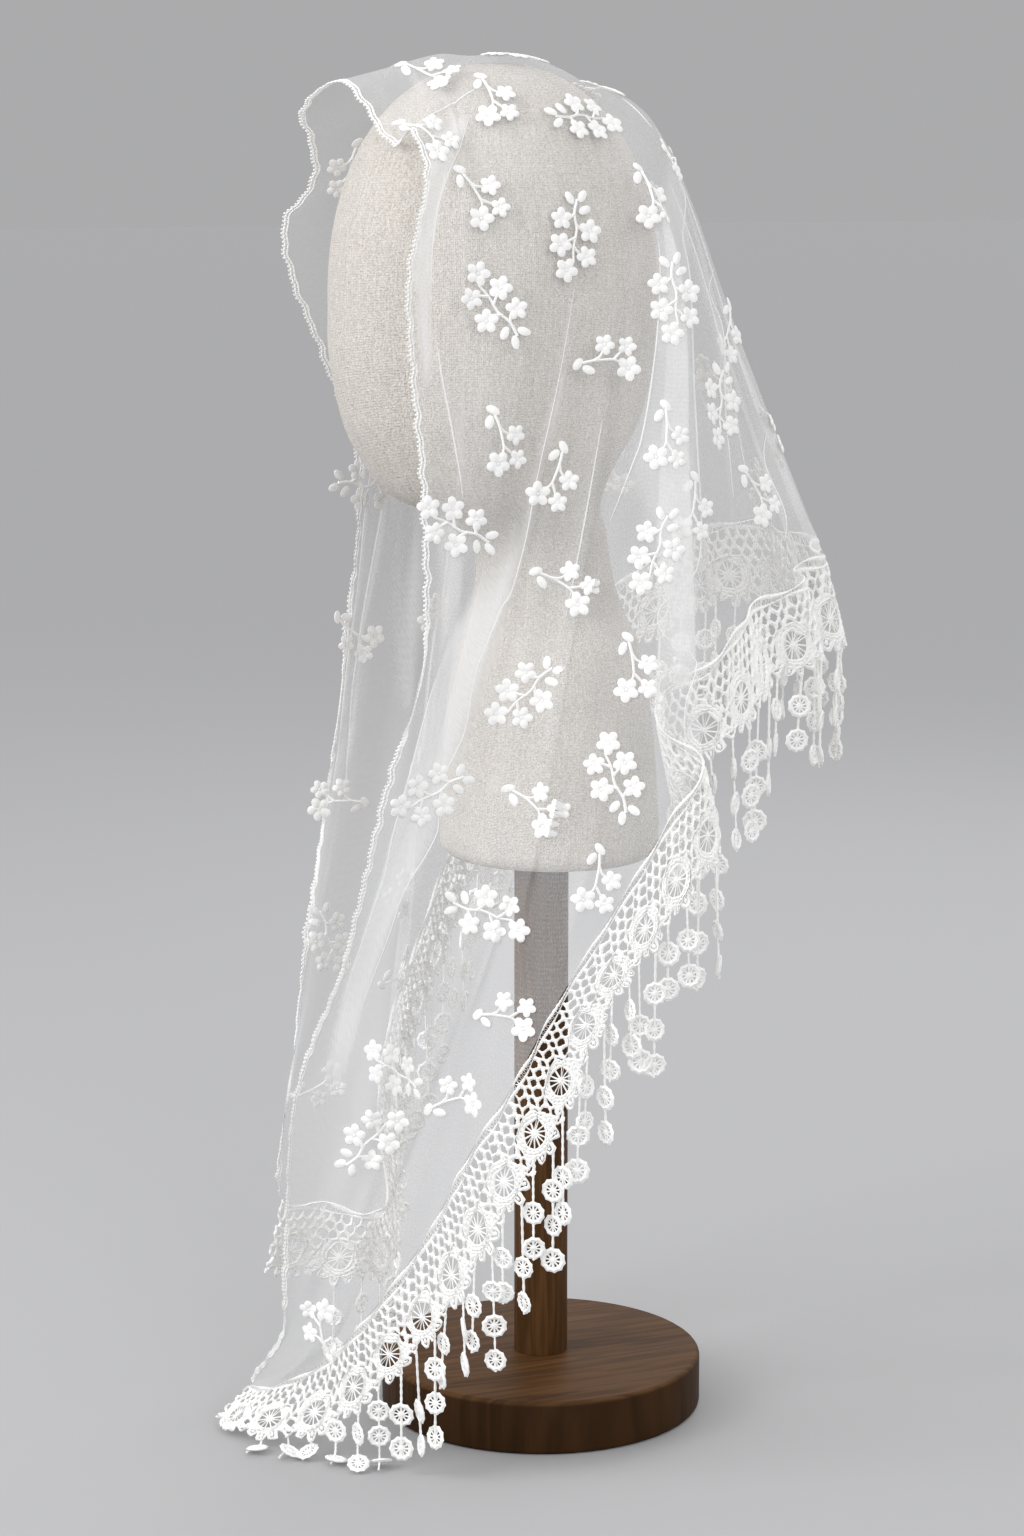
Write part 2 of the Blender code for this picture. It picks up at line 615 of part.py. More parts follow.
def add_border(drape, name, side, lace):
    """One leg's lace border: a wall with its larger gaps cut through."""
    flat, triangles = lace_pattern()
    points = []
    for face in (BORDER_WALL / 2, -BORDER_WALL / 2):
        for along, down in flat:
            point, normal = drape.border_point(side, min(along, BORDER_LEG - CORNER_GAP), down)
            points.append(point + normal * face)
    layer = len(flat)
    faces = list(triangles)
    faces += [tuple(corner + layer for corner in reversed(face)) for face in triangles]
    seen = {}
    for face in triangles:
        for first, second in zip(face, face[1:] + face[:1]):
            seen[(first, second)] = True
    for first, second in seen:
        if (second, first) not in seen:
            faces.append((second, first, first + layer, second + layer))
    solid(name, points, faces, lace)


def add_braid(drape, lace):
    """The narrow braid along the plain side, 4-sided, just past the net's edge."""
    places = [
        place for place in range(len(drape.edges))
        if abs(drape.edges[place]) <= NET_HALF_SIDE - BRAID_STOP
    ]
    points = []
    for order, place in enumerate(places):
        edge = drape.net[place][-1]
        before = drape.net[places[max(order - 1, 0)]][-1]
        after = drape.net[places[min(order + 1, len(places) - 1)]][-1]
        tangent = unit(after - before)
        outward = unit(np.cross(tangent, drape.normals[place][HEM_ROW]))
        normal = np.cross(outward, tangent)
        centre = edge + outward * (BRAID_GAP + BRAID_WIDTH / 2)
        points += [
            centre - outward * BRAID_WIDTH / 2,
            centre + normal * BRAID_THICK / 2,
            centre + outward * BRAID_WIDTH / 2,
            centre - normal * BRAID_THICK / 2,
        ]
    faces = []
    for step in range(len(places) - 1):
        for corner in range(4):
            following = (corner + 1) % 4
            faces.append(
                (4 * step + corner, 4 * step + following, 4 * step + 4 + following, 4 * step + 4 + corner)
            )
    faces.append((0, 1, 2, 3))
    faces.append(tuple(4 * (len(places) - 1) + corner for corner in range(4)))
    solid("front_edge_braid", points, faces, lace)


def strand_end(root):
    """Where a strand ends: straight down, or aslant just above the floor where that is near."""
    room = max(root[2] - FLOOR_CLEAR, 0.0)
    if room >= STRAND_LENGTH:
        return root - np.array((0.0, 0.0, STRAND_LENGTH))
    lean = unit(unit(np.array((root[0], root[1], 0.0))) + np.array((NEAR_LEAN, 0.0, 0.0)))
    end = root + lean * FLOOR_REACH * (1.0 - room / STRAND_LENGTH)
    end[2] = min(root[2], FLOOR_CLEAR)
    return end


def add_fringe(drape, name, side, lace):
    """A narrow backing strip past the border's edge with one strand at each wheel."""
    stations = []
    for repeat in range(REPEATS):
        middle = (repeat + 0.5) * PITCH
        if repeat:
            stations.append((repeat * PITCH, False))
        stations.append((middle - ROOT_WIDTH / 2, True))
        stations.append((middle + ROOT_WIDTH / 2, False))
    points = []
    for along, _ in stations:
        top, normal = drape.border_point(side, along, BORDER_WIDTH + STRIP_GAP)
        low, _ = drape.border_point(side, along, BORDER_WIDTH + STRIP_GAP + STRIP_WIDTH)
        half = normal * STRIP_THICK / 2
        points += [top + half, top - half, low - half, low + half]
    faces = [(0, 1, 2, 3)]
    last_root = np.array((0.0, 0.0))
    for step, (_, is_root) in enumerate(stations[:-1]):
        first, second = 4 * step, 4 * step + 4
        for corner in (0, 1, 3):
            following = (corner + 1) % 4
            faces.append((first + corner, first + following, second + following, second + corner))
        below = (first + 2, first + 3, second + 3, second + 2)
        root = points[first + 2][:2]
        if is_root and np.linalg.norm(root - last_root) >= STRAND_SPACING:
            add_strand(points, faces, below)
            last_root = root
        else:
            faces.append(below)
    last = 4 * (len(stations) - 1)
    faces.append((last, last + 1, last + 2, last + 3))
    solid(name, points, faces, lace)


def add_strand(points, faces, root):
    """Rings below one root face of the strip, wide at each disc, closed at the end."""
    corners = [points[index] for index in root]
    middle = sum(corners) / 4
    end = strand_end(middle)
    run = unit(end - middle)
    across = unit(corners[3] - corners[0])
    across = unit(across - run * np.dot(across, run))
    thick = np.cross(run, across)
    if np.dot(thick, corners[1] - corners[0]) < 0:
        thick = -thick
    before = root
    for ring in STRAND_RINGS:
        centre = middle + (end - middle) * ring.share
        half_width = across * ring.width / 2
        half_thick = thick * STRAND_THICK / 2
        first = len(points)
        points += [
            centre - half_width - half_thick,
            centre - half_width + half_thick,
            centre + half_width + half_thick,
            centre + half_width - half_thick,
        ]
        current = tuple(range(first, first + 4))
        for corner in range(4):
            following = (corner + 1) % 4
            faces.append((before[corner], before[following], current[following], current[corner]))
        before = current
    faces.append(before)


def build():
    clear_scene()
    wood = material("dark_wood", (0.075, 0.040, 0.022), 0.45)
    linen = material("linen", (0.62, 0.58, 0.52), 0.9)
    tulle = material("white_tulle", (0.90, 0.90, 0.90), 0.8)
    lace = material("white_lace", (0.92, 0.92, 0.91), 0.8)
    add_stand(wood)
    add_head_form(linen)
    drape = Drape()
    add_net(drape, tulle)
    add_braid(drape, lace)
    add_border(drape, "lace_border_left", NEAR, lace)
    add_border(drape, "lace_border_right", FAR, lace)
    add_fringe(drape, "fringe_left", NEAR, lace)
    add_fringe(drape, "fringe_right", FAR, lace)


build()
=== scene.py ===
"""Looks for a triangle lace veil draped over a linen head form on a pole and a round base.

Metres, +Z up, the form faces -Y, its left side is +X. Flat places on the veil are
measured from the middle of its plain side: x along that side, y toward the back corner.
"""
import math
from collections import namedtuple

import bmesh
import bpy
import numpy as np
from mathutils import Matrix, Vector
from mathutils.bvhtree import BVHTree


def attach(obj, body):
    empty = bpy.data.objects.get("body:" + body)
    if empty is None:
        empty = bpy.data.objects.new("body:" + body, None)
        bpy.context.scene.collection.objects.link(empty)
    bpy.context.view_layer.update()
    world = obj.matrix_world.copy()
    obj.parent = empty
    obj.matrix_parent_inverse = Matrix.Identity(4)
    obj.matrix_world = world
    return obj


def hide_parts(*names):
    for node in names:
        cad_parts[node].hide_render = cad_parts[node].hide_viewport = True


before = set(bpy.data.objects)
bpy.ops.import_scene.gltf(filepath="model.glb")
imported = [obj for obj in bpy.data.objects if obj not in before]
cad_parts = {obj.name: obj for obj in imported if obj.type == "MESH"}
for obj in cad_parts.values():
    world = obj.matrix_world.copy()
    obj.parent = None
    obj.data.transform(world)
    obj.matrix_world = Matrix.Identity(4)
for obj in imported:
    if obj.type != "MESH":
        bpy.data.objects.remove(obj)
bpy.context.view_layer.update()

NEAR, FAR = 1, -1
HAND = {NEAR: "left", FAR: "right"}

# Photograph: the camera stands to the form's left, a little above the middle
PHOTO_WIDTH, PHOTO_HEIGHT = 1024, 1536
FOCAL_PIXELS = 3500.0
SENSOR_MM = 36.0
CAMERA_AZIMUTH = math.radians(68.0)
CAMERA_PITCH = math.radians(10.0)
CAMERA_DISTANCE = 1.900
CAMERA_HEIGHT = 0.699
CAMERA_SIDESTEP = -0.0163

# Stand
BASE_RADIUS = 0.090
BASE_HEIGHT = 0.030
BASE_ROUND = 0.0028
POLE_RADIUS = 0.015
POLE_ROUND = 0.0004
FORM_BOTTOM = 0.317
DOME_HEIGHT = 0.620
HEAD_TOP = 0.745
DOME_CENTRE = -0.0275
DOME_HALF_WIDTH = 0.076
DOME_HALF_DEPTH = 0.0910
DOME_POWER = 2.2
FORM_TURNS = 120
SIDE_RINGS, DOME_RINGS = 90, 36
# Height, centre along y, half width and half depth of the form, from its bottom up
FORM_TABLE = np.array((
    (FORM_BOTTOM, 0.0045, 0.0580, 0.0550),
    (0.319, 0.0045, 0.0615, 0.0585),
    (0.324, 0.0045, 0.0630, 0.0600),
    (0.348, 0.0045, 0.0625, 0.0595),
    (0.402, 0.0040, 0.0590, 0.0550),
    (0.432, 0.0035, 0.0530, 0.0500),
    (0.447, 0.0030, 0.0455, 0.0440),
    (0.462, 0.0020, 0.0395, 0.0390),
    (0.482, 0.0000, 0.0370, 0.0365),
    (0.496, -0.0050, 0.0390, 0.0395),
    (0.507, -0.0170, 0.0430, 0.0480),
    (0.518, -0.0270, 0.0500, 0.0600),
    (0.534, -0.0300, 0.0590, 0.0700),
    (0.552, -0.0295, 0.0665, 0.0800),
    (0.572, -0.0290, 0.0715, 0.0860),
    (0.596, -0.0285, 0.0750, 0.0900),
    (DOME_HEIGHT, DOME_CENTRE, DOME_HALF_WIDTH, DOME_HALF_DEPTH),
))

# Flat cut of the veil
HALF_LONG_SIDE = 0.80
DEPTH = 0.56
BORDER_WIDTH = 0.050
TIP_ANGLE = math.atan2(DEPTH, HALF_LONG_SIDE)
NET_HALF_SIDE = HALF_LONG_SIDE - BORDER_WIDTH / math.sin(TIP_ANGLE)
NET_LEG = NET_HALF_SIDE / math.cos(TIP_ANGLE)
CROWN_DEPTH = 0.090  # where the crown lies on the flat cut, behind the plain side

# Drape, as in the part's solids
CLOTH_CLEAR = 0.0030
CROWN = (0.0, -0.0275, 0.7480)
# Folds are in millimetres: a place along the outline from the middle of the plain side, then
# points that the cloth passes there. The hem is the net's edge and outer is the border's.
MM_PER_METRE = 1000
Fold = namedtuple("Fold", "edge shoulder hem outer middle low", defaults=(None, None, None))
FRONT_MIDDLE = Fold(0, (0, -60, 749), (0, -110, 735))
BACK_CORNER = Fold(
    MM_PER_METRE * (NET_HALF_SIDE + NET_LEG), (0, 58, 719), (0, 168, 485), (1, 189, 409)
)
NEAR_PLAIN_SIDE = (
    Fold(46, (16, -58, 742), (30, -95, 704)),
    Fold(69, (26, -60, 738), (50, -92, 710)),
    Fold(90, (36, -60, 728), (63, -89, 694)),
    Fold(110, (45, -60, 716), (72, -93, 678)),
    Fold(155, (60, -60, 690), (78, -104, 635)),
    Fold(200, (68, -59, 668), (80, -103, 590)),
    Fold(260, (72, -54, 652), (85, -99, 525)),
    Fold(340, (76, -50, 643), (88, -101, 443)),
    Fold(420, (78, -45, 637), (85, -121, 371), middle=(87, -76, 500), low=(87, -97, 428)),
    Fold(510, (80, -40, 633), (70, -140, 280), middle=(86, -83, 450), low=(80, -113, 350)),
    Fold(580, (81, -36, 631), (48, -161, 200), middle=(84, -92, 400), low=(68, -132, 270)),
    Fold(630, (81, -33, 630), (28, -160, 109), middle=(82, -99, 350), low=(58, -134, 205)),
    Fold(665, (81, -30, 629), (13, -157.5, 63), middle=(77, -108, 260), low=(39, -146, 120)),
    Fold(690, (81, -28, 628), (-10, -159.5, 40), middle=(76, -102, 260), low=(25.5, -148.8, 72)),
)
NEAR_LEG = (
    Fold(713, (81, -25, 628), (-34, -161, 19), (-26, -189, 2), middle=(76.5, -98, 260), low=(26.2, -150, 58)),
    Fold(750, (81, -20, 628), (0, -158, 29), (4, -182, 2), middle=(80, -90, 260), low=(33, -146.3, 61)),
    Fold(795, (81, -14, 628), (34, -141, 52), (46, -149, 10), middle=(88, -80, 280), low=(50, -130, 90)),
    Fold(845, (81, -6, 629), (63, -124, 87), (88, -111, 58), middle=(94, -66, 310)),
    Fold(895, (81, 1, 630), (83, -100, 132), (108, -90, 96), middle=(99, -52, 345)),
    Fold(945, (81, 8, 631), (106, -85, 181), (130, -65, 153), middle=(106, -39, 380)),
    Fold(990, (80, 15, 632), (118, -66, 218), (140, -43, 195)),
    Fold(1040, (80, 22, 634), (126, -41, 267), (146, -17, 261)),
    Fold(1090, (80, 29, 637), (131, -6, 322), (147, 6, 291)),
    Fold(1135, (80, 36, 642), (133, 17, 358), (145, 29, 318)),
    Fold(1168, (79.5, 43, 648), (124, 40, 385), (131, 49, 337)),
    Fold(1200, (71.5, 41.5, 655), (104, 24, 402), (111, 32, 353)),
    Fold(1232, (65.5, 40.5, 662), (89, 32, 418), (93, 41, 368)),
    Fold(1270, (64, 44, 670), (103, 52, 433), (114, 60, 384)),
    Fold(1320, (57, 48, 680), (84, 81, 452), (93, 92, 402)),
    Fold(1368, (49, 48, 690), (72, 95, 461), (76, 107, 411)),
    Fold(1415, (41, 53, 699), (64, 127, 469), (68, 140, 417)),
    Fold(1460, (31, 54, 706), (42, 132, 475), (45, 144, 420)),
    Fold(1505, (21, 57, 712), (33, 155, 479), (34, 171, 420)),
    Fold(1545, (10, 57, 717), (14, 156, 482), (15, 175, 416)),
)
FAR_PLAIN_SIDE = (
    Fold(45, (-16, -58, 743), (-40, -120, 720)),
    Fold(70, (-26, -60, 738), (-55, -109, 701)),
    Fold(95, (-38, -60, 726), (-66, -106, 681)),
    Fold(120, (-50, -60, 708), (-75, -119, 660)),
    Fold(150, (-59, -60, 692), (-80, -113, 630)),
    Fold(190, (-67, -59, 668), (-80, -98, 594)),
    Fold(260, (-73, -54, 648), (-80, -76, 527)),
    Fold(360, (-77, -49, 640), (-85, -84, 420)),
    Fold(470, (-79, -43, 635), (-88, -98, 315)),
    Fold(580, (-80, -37, 632), (-88, -114, 206)),
)
FAR_LEG = (
    Fold(713, (-81, -29, 630), (-89, -124, 106), (-91, -136, 56)),
    Fold(745, (-81, -24, 630), (-96, -98, 100), (-98, -110, 50)),
    Fold(775, (-81, -19, 630), (-85, -74, 94), (-88, -82, 46)),
    Fold(808, (-81, -13, 630), (-100, -56, 96), (-108, -50, 47)),
    Fold(865, (-81, -5, 631), (-104, -60, 148), (-128, -38, 118)),
    Fold(920, (-81, 3, 632), (-108, -52, 196), (-136, -26, 168)),
    Fold(975, (-81, 11, 634), (-112, -34, 240), (-140, -6, 216)),
    Fold(1030, (-80, 19, 636), (-120, -12, 288), (-144, 14, 260)),
    Fold(1085, (-80, 28, 640), (-127, 14, 336), (-146, 34, 300)),
    Fold(1122, (-79.5, 35.5, 645), (-127, 36, 366), (-140, 50, 322)),
    Fold(1160, (-74, 37.5, 652), (-108, 30, 390), (-114, 40, 342)),
    Fold(1198, (-68, 36, 660), (-98, 46, 412), (-104, 58, 363)),
    Fold(1240, (-66, 46, 668), (-108, 74, 434), (-118, 87, 386)),
    Fold(1290, (-56, 47, 680), (-88, 92, 458), (-94, 104, 409)),
    Fold(1345, (-49, 52, 690), (-80, 124, 478), (-85, 138, 429)),
    Fold(1400, (-38, 51, 701), (-56, 128, 488), (-59, 141, 437)),
    Fold(1455, (-27, 56, 709), (-42, 152, 492), (-44, 166, 434)),
    Fold(1520, (-13, 57, 715), (-18, 154, 488), (-18, 170, 424)),
)
SHEET_COLUMNS = 880
SHEET_ROWS = 96
SPAN_STEPS = 20
GATHERING = (0.95, 1.15)  # least and most that gathers count in how dense the net looks


def between_rows(keys, values, index, t):
    """Values a share t of the way from one row to the next, on a smooth curve through all rows."""
    width = keys[index + 1] - keys[index]
    slopes = []
    for row in (index, index + 1):
        before, after = max(row - 1, 0), min(row + 1, len(keys) - 1)
        slopes.append((values[after] - values[before]) / (keys[after] - keys[before]))
    return (
        (2 * t**3 - 3 * t**2 + 1) * values[index]
        + (t**3 - 2 * t**2 + t) * width * slopes[0]
        + (3 * t**2 - 2 * t**3) * values[index + 1]
        + (t**3 - t**2) * width * slopes[1]
    )


def along_table(table, place):
    """The table's values at a place between its rows, one row for each point."""
    keys, values = table[:, 0], table[:, 1:]
    index = int(np.clip(np.searchsorted(keys, place) - 1, 0, len(keys) - 2))
    share = (place - keys[index]) / (keys[index + 1] - keys[index])
    return between_rows(keys, values, index, share).reshape(-1, 3)


def run_along(points):
    """Length of a line from its start to each of its points."""
    gaps = np.linalg.norm(np.diff(points, axis=0), axis=1)
    return np.concatenate(([0.0], np.cumsum(np.maximum(gaps, 1e-6))))


def smooth_through(points, steps):
    """A smooth curve through points, with the same number of steps in each span."""
    points = np.array(points)
    keys = run_along(points)
    t = (np.arange(steps) / steps)[:, None]
    curve = [between_rows(keys, points, index, t) for index in range(len(points) - 1)]
    return np.concatenate(curve + [points[-1:]])


def resampled(places, keys, rows):
    """Rows at places between the keys that the given rows stand at."""
    return np.stack([np.interp(places, keys, column) for column in rows.T], axis=-1)


def at_rows(rows, places):
    return resampled(places, np.arange(len(rows)), rows)


def unit_rows(vectors):
    return vectors / np.maximum(np.linalg.norm(vectors, axis=-1, keepdims=True), 1e-9)


def pointing(angles):
    """Flat unit vectors at angles."""
    return np.stack([np.cos(angles), np.sin(angles)], axis=-1)


def with_zero(rows):
    """Rows with one more number, zero, at the end of each."""
    return np.pad(rows, ((0, 0), (0, 1)))


def clear_of_form(points):
    """The points, with those in the form or too close to it moved out."""
    points = points.copy()
    centre = np.array((0.0, DOME_CENTRE, DOME_HEIGHT))
    upper = points[:, 2] >= DOME_HEIGHT
    away = points - centre
    radial = np.hypot(away[:, 0] / DOME_HALF_WIDTH, away[:, 1] / DOME_HALF_DEPTH)
    rise = np.maximum(away[:, 2] / (HEAD_TOP - DOME_HEIGHT), 0.0)
    size = (radial**DOME_POWER + rise**DOME_POWER) ** (1.0 / DOME_POWER)
    least = 1.0 + CLOTH_CLEAR / DOME_HALF_DEPTH
    close = upper & (size < least)
    points[close] = centre + away[close] * (least / np.maximum(size[close], 1e-6))[:, None]
    heights = np.clip(points[:, 2], FORM_BOTTOM, DOME_HEIGHT)
    middle, wide, deep = resampled(heights, FORM_TABLE[:, 0], FORM_TABLE[:, 1:]).T
    size = np.hypot(points[:, 0] / wide, (points[:, 1] - middle) / deep)
    least = 1.0 + CLOTH_CLEAR / deep
    close = ~upper & (points[:, 2] >= FORM_BOTTOM) & (size < least)
    push = np.where(close, least / np.maximum(size, 1e-6), 1.0)
    points[:, 0] *= push
    points[:, 1] = middle * (1 - push) + points[:, 1] * push
    return points


def halfway(first, second):
    return tuple((np.array(first) + np.array(second)) / 2)


def table_row(fold, side):
    middle = fold.middle or halfway(fold.shoulder, fold.hem)
    low = fold.low or halfway(middle, fold.hem)
    return (side * fold.edge, *fold.shoulder, *middle, *low, *fold.hem)


BorderRows = namedtuple("BorderRows", "header outer normals lengths")
BORDER_STEPS = 360
SMOOTHED_ROWS = 5


class Veil:
    """The draped cloth: a fine grid of net points, the borders below, and ways to place on both."""

    def __init__(self):
        folds = [table_row(BACK_CORNER, side) for side in (FAR, NEAR)]
        folds += [table_row(fold, FAR) for fold in FAR_PLAIN_SIDE + FAR_LEG]
        folds += [table_row(fold, NEAR) for fold in (FRONT_MIDDLE,) + NEAR_PLAIN_SIDE + NEAR_LEG]
        self.table = np.array(sorted(folds)) / MM_PER_METRE
        self.half = NET_HALF_SIDE + NET_LEG
        self.edges = np.linspace(-self.half, self.half, SHEET_COLUMNS + 1)
        self.points = np.array([self.column(edge) for edge in self.edges])
        self.outline = np.array([self.flat_outline(edge) for edge in self.edges])
        self.find_normals()
        self.borders = {side: self.border_rows(side) for side in (NEAR, FAR)}

    def column(self, edge):
        """Points of the net from the crown to its edge at one place on the outline."""
        shoulder, middle, low, hem = along_table(self.table, edge)
        crown = np.array(CROWN)
        over_dome = clear_of_form(((crown + shoulder) / 2)[None])[0]
        stops = [crown, over_dome, shoulder, middle, low, hem]
        curve = clear_of_form(smooth_through(stops, SPAN_STEPS))
        lengths = run_along(curve)
        return resampled(np.linspace(0.0, lengths[-1], SHEET_ROWS + 1), lengths, curve)

    def flat_outline(self, edge):
        side, far = (1 if edge >= 0 else -1), abs(edge)
        if far <= NET_HALF_SIDE:
            return (edge, 0.0)
        up_leg = far - NET_HALF_SIDE
        return (side * (NET_HALF_SIDE - up_leg * math.cos(TIP_ANGLE)), up_leg * math.sin(TIP_ANGLE))

    def find_normals(self):
        around = np.gradient(self.points, axis=0)
        around[0] = around[-1] = self.points[1] - self.points[-2]
        down = np.gradient(self.points, axis=1)
        normals = np.cross(down, around)
        normals[:, 0] = (0.0, 0.0, 1.0)
        self.normals = unit_rows(normals)

    def flat_grid(self):
        """The flat place of each grid point, and how far down its column it is."""
        shares = np.linspace(0.0, 1.0, SHEET_ROWS + 1)
        middle = np.array((0.0, CROWN_DEPTH))
        return middle + (self.outline[:, None] - middle) * shares[None, :, None]

    def on_net(self, flat):
        """Point and normal on the draped net at flat places, by rays from the crown."""
        flat = np.atleast_2d(flat) - np.array((0.0, CROWN_DEPTH))
        rim = self.outline - np.array((0.0, CROWN_DEPTH))
        bearings = np.arctan2(rim[:, 0], -rim[:, 1])
        bearings[[0, -1]] = (-math.pi, math.pi)
        bearing = np.arctan2(flat[:, 0], -flat[:, 1])
        place = np.interp(bearing, bearings, np.arange(len(bearings)))
        reach = np.interp(place, np.arange(len(rim)), np.linalg.norm(rim, axis=1))
        row = np.clip(np.linalg.norm(flat, axis=1) / reach, 0.0, 1.0) * SHEET_ROWS
        return blend_grid(self.points, place, row), unit_rows(blend_grid(self.normals, place, row))

    def border_rows(self, side):
        """Header and outer points of one border from its tip, with its normals and its length."""
        folds = (NEAR_LEG if side == NEAR else FAR_LEG) + (BACK_CORNER,)
        table = np.array([(fold.edge, *fold.outer) for fold in folds]) / MM_PER_METRE
        places = np.linspace(NET_HALF_SIDE, self.half, BORDER_STEPS + 1)
        header = np.array([along_table(self.table, side * place)[-1] for place in places])
        outer = np.array([along_table(table, place)[0] for place in places])
        normals = side * np.cross(outer - header, np.gradient((header + outer) / 2, axis=0))
        kernel = np.ones(SMOOTHED_ROWS) / SMOOTHED_ROWS
        padded = np.pad(unit_rows(normals), ((SMOOTHED_ROWS // 2,) * 2, (0, 0)), mode="edge")
        normals = np.stack([np.convolve(padded[:, k], kernel, "valid") for k in range(3)], axis=1)
        return BorderRows(header, outer, unit_rows(normals), run_along((header + outer) / 2))

    def on_border(self, side, flat, lift=0.0):
        """Points on one border at (along, down) places, raised from it by lift, and normals."""
        rows = self.borders[side]
        flat = np.atleast_2d(flat)
        place = np.interp(flat[:, 0], rows.lengths, np.arange(BORDER_STEPS + 1))
        header, outer, normal = (at_rows(part, place) for part in rows[:3])
        point = header + (outer - header) * (flat[:, 1:2] / BORDER_WIDTH)
        normal = unit_rows(normal)
        return point + normal * np.reshape(lift, (-1, 1)), normal

    def gathering(self):
        """How much more cloth than surface there is at each grid point."""
        shapes = []
        for grid in (self.points, np.pad(self.flat_grid(), ((0, 0), (0, 0), (0, 1)))):
            across, down = np.gradient(grid, axis=0), np.gradient(grid, axis=1)
            shapes.append(np.linalg.norm(np.cross(across, down), axis=2))
        share = shapes[1] / np.maximum(shapes[0], 1e-12)
        share[:, 0] = share[:, 1]
        return np.clip(share, *GATHERING)

    def tree(self, stride):
        """The net's faces, every so many grid points, for rays and nearest points."""
        coarse = self.points[::stride, ::stride]
        count = coarse.shape[1]
        faces = []
        for column in range(coarse.shape[0] - 1):
            for row in range(count - 1):
                first = column * count + row
                faces.append((first, first + 1, first + count + 1, first + count))
        return BVHTree.FromPolygons(coarse.reshape(-1, 3).tolist(), faces)


def blend_grid(grid, place, row):
    columns, rows = grid.shape[0] - 1, grid.shape[1] - 1
    left = np.clip(place.astype(int), 0, columns - 1)
    top = np.clip(row.astype(int), 0, rows - 1)
    across, down = (place - left)[:, None], (row - top)[:, None]
    upper = grid[left, top] * (1 - across) + grid[left + 1, top] * across
    lower = grid[left, top + 1] * (1 - across) + grid[left + 1, top + 1] * across
    return upper * (1 - down) + lower * down


# Photograph rays


def camera_axes():
    toward = Vector((math.sin(CAMERA_AZIMUTH), -math.cos(CAMERA_AZIMUTH), 0.0))
    right = Vector((math.cos(CAMERA_AZIMUTH), math.sin(CAMERA_AZIMUTH), 0.0))
    forward = -toward * math.cos(CAMERA_PITCH) - Vector((0.0, 0.0, math.sin(CAMERA_PITCH)))
    place = toward * CAMERA_DISTANCE + right * CAMERA_SIDESTEP + Vector((0.0, 0.0, CAMERA_HEIGHT))
    return place, right, right.cross(forward), forward


FINDER_STRIDE = 4


class PhotoFinder:
    """Finds the flat place on the net that shows at a pixel of the photograph."""

    def __init__(self, veil):
        self.points = veil.points
        self.flat = veil.flat_grid()
        self.tree = veil.tree(FINDER_STRIDE)

    def place(self, across, down):
        start, right, up, forward = camera_axes()
        ray = forward + right * ((across - PHOTO_WIDTH / 2) / FOCAL_PIXELS)
        ray -= up * ((down - PHOTO_HEIGHT / 2) / FOCAL_PIXELS)
        hit, _, face, _ = self.tree.ray_cast(start, ray.normalized())
        if hit is None:
            return None
        column, row = (FINDER_STRIDE * part for part in divmod(face, SHEET_ROWS // FINDER_STRIDE))
        block = np.s_[column:column + FINDER_STRIDE + 1, row:row + FINDER_STRIDE + 1]
        away = np.linalg.norm(self.points[block] - np.array(hit), axis=2)
        return self.flat[block][np.unravel_index(np.argmin(away), away.shape)]

    def line(self, pixels):
        """The flat line that shows along a line of pixels, without those that miss the net."""
        places = [self.place(*pixel) for pixel in pixels]
        return np.array([place for place in places if place is not None])


# Creases: bright narrow folds in the net. Those on the camera's side lie along lines in
# the photograph, the others along flat lines on the cloth.
Crease = namedtuple("Crease", "line height width bright")
PHOTO_CREASES = (
    Crease(((575, 290), (560, 380), (537, 470), (528, 523), (510, 560), (478, 667), (446, 783), (438, 840)),
           0.0016, 0.0030, 0.55),
    Crease(((435, 335), (450, 410), (470, 500)), 0.0010, 0.0035, 0.30),
    Crease(((415, 430), (412, 560), (405, 700), (398, 830)), 0.0014, 0.0030, 0.45),
    Crease(((437, 520), (436, 640), (430, 760)), 0.0012, 0.0030, 0.35),
    Crease(((600, 420), (585, 520), (560, 640), (545, 760)), 0.0012, 0.0060, 0.12),
    Crease(((520, 840), (500, 920), (470, 1010)), 0.0016, 0.0050, 0.20),
    Crease(((600, 800), (585, 880), (560, 960)), 0.0014, 0.0060, 0.16),
    Crease(((620, 560), (612, 660), (600, 760)), -0.0014, 0.0080, 0.00),
    Crease(((480, 250), (470, 360), (455, 470)), -0.0010, 0.0080, 0.05),
    Crease(((740, 330), (765, 430), (785, 540)), 0.0016, 0.0040, 0.30),
    Crease(((715, 300), (730, 420), (735, 560)), 0.0012, 0.0035, 0.30),
    Crease(((790, 470), (812, 560), (820, 640)), -0.0014, 0.0060, 0.05),
)
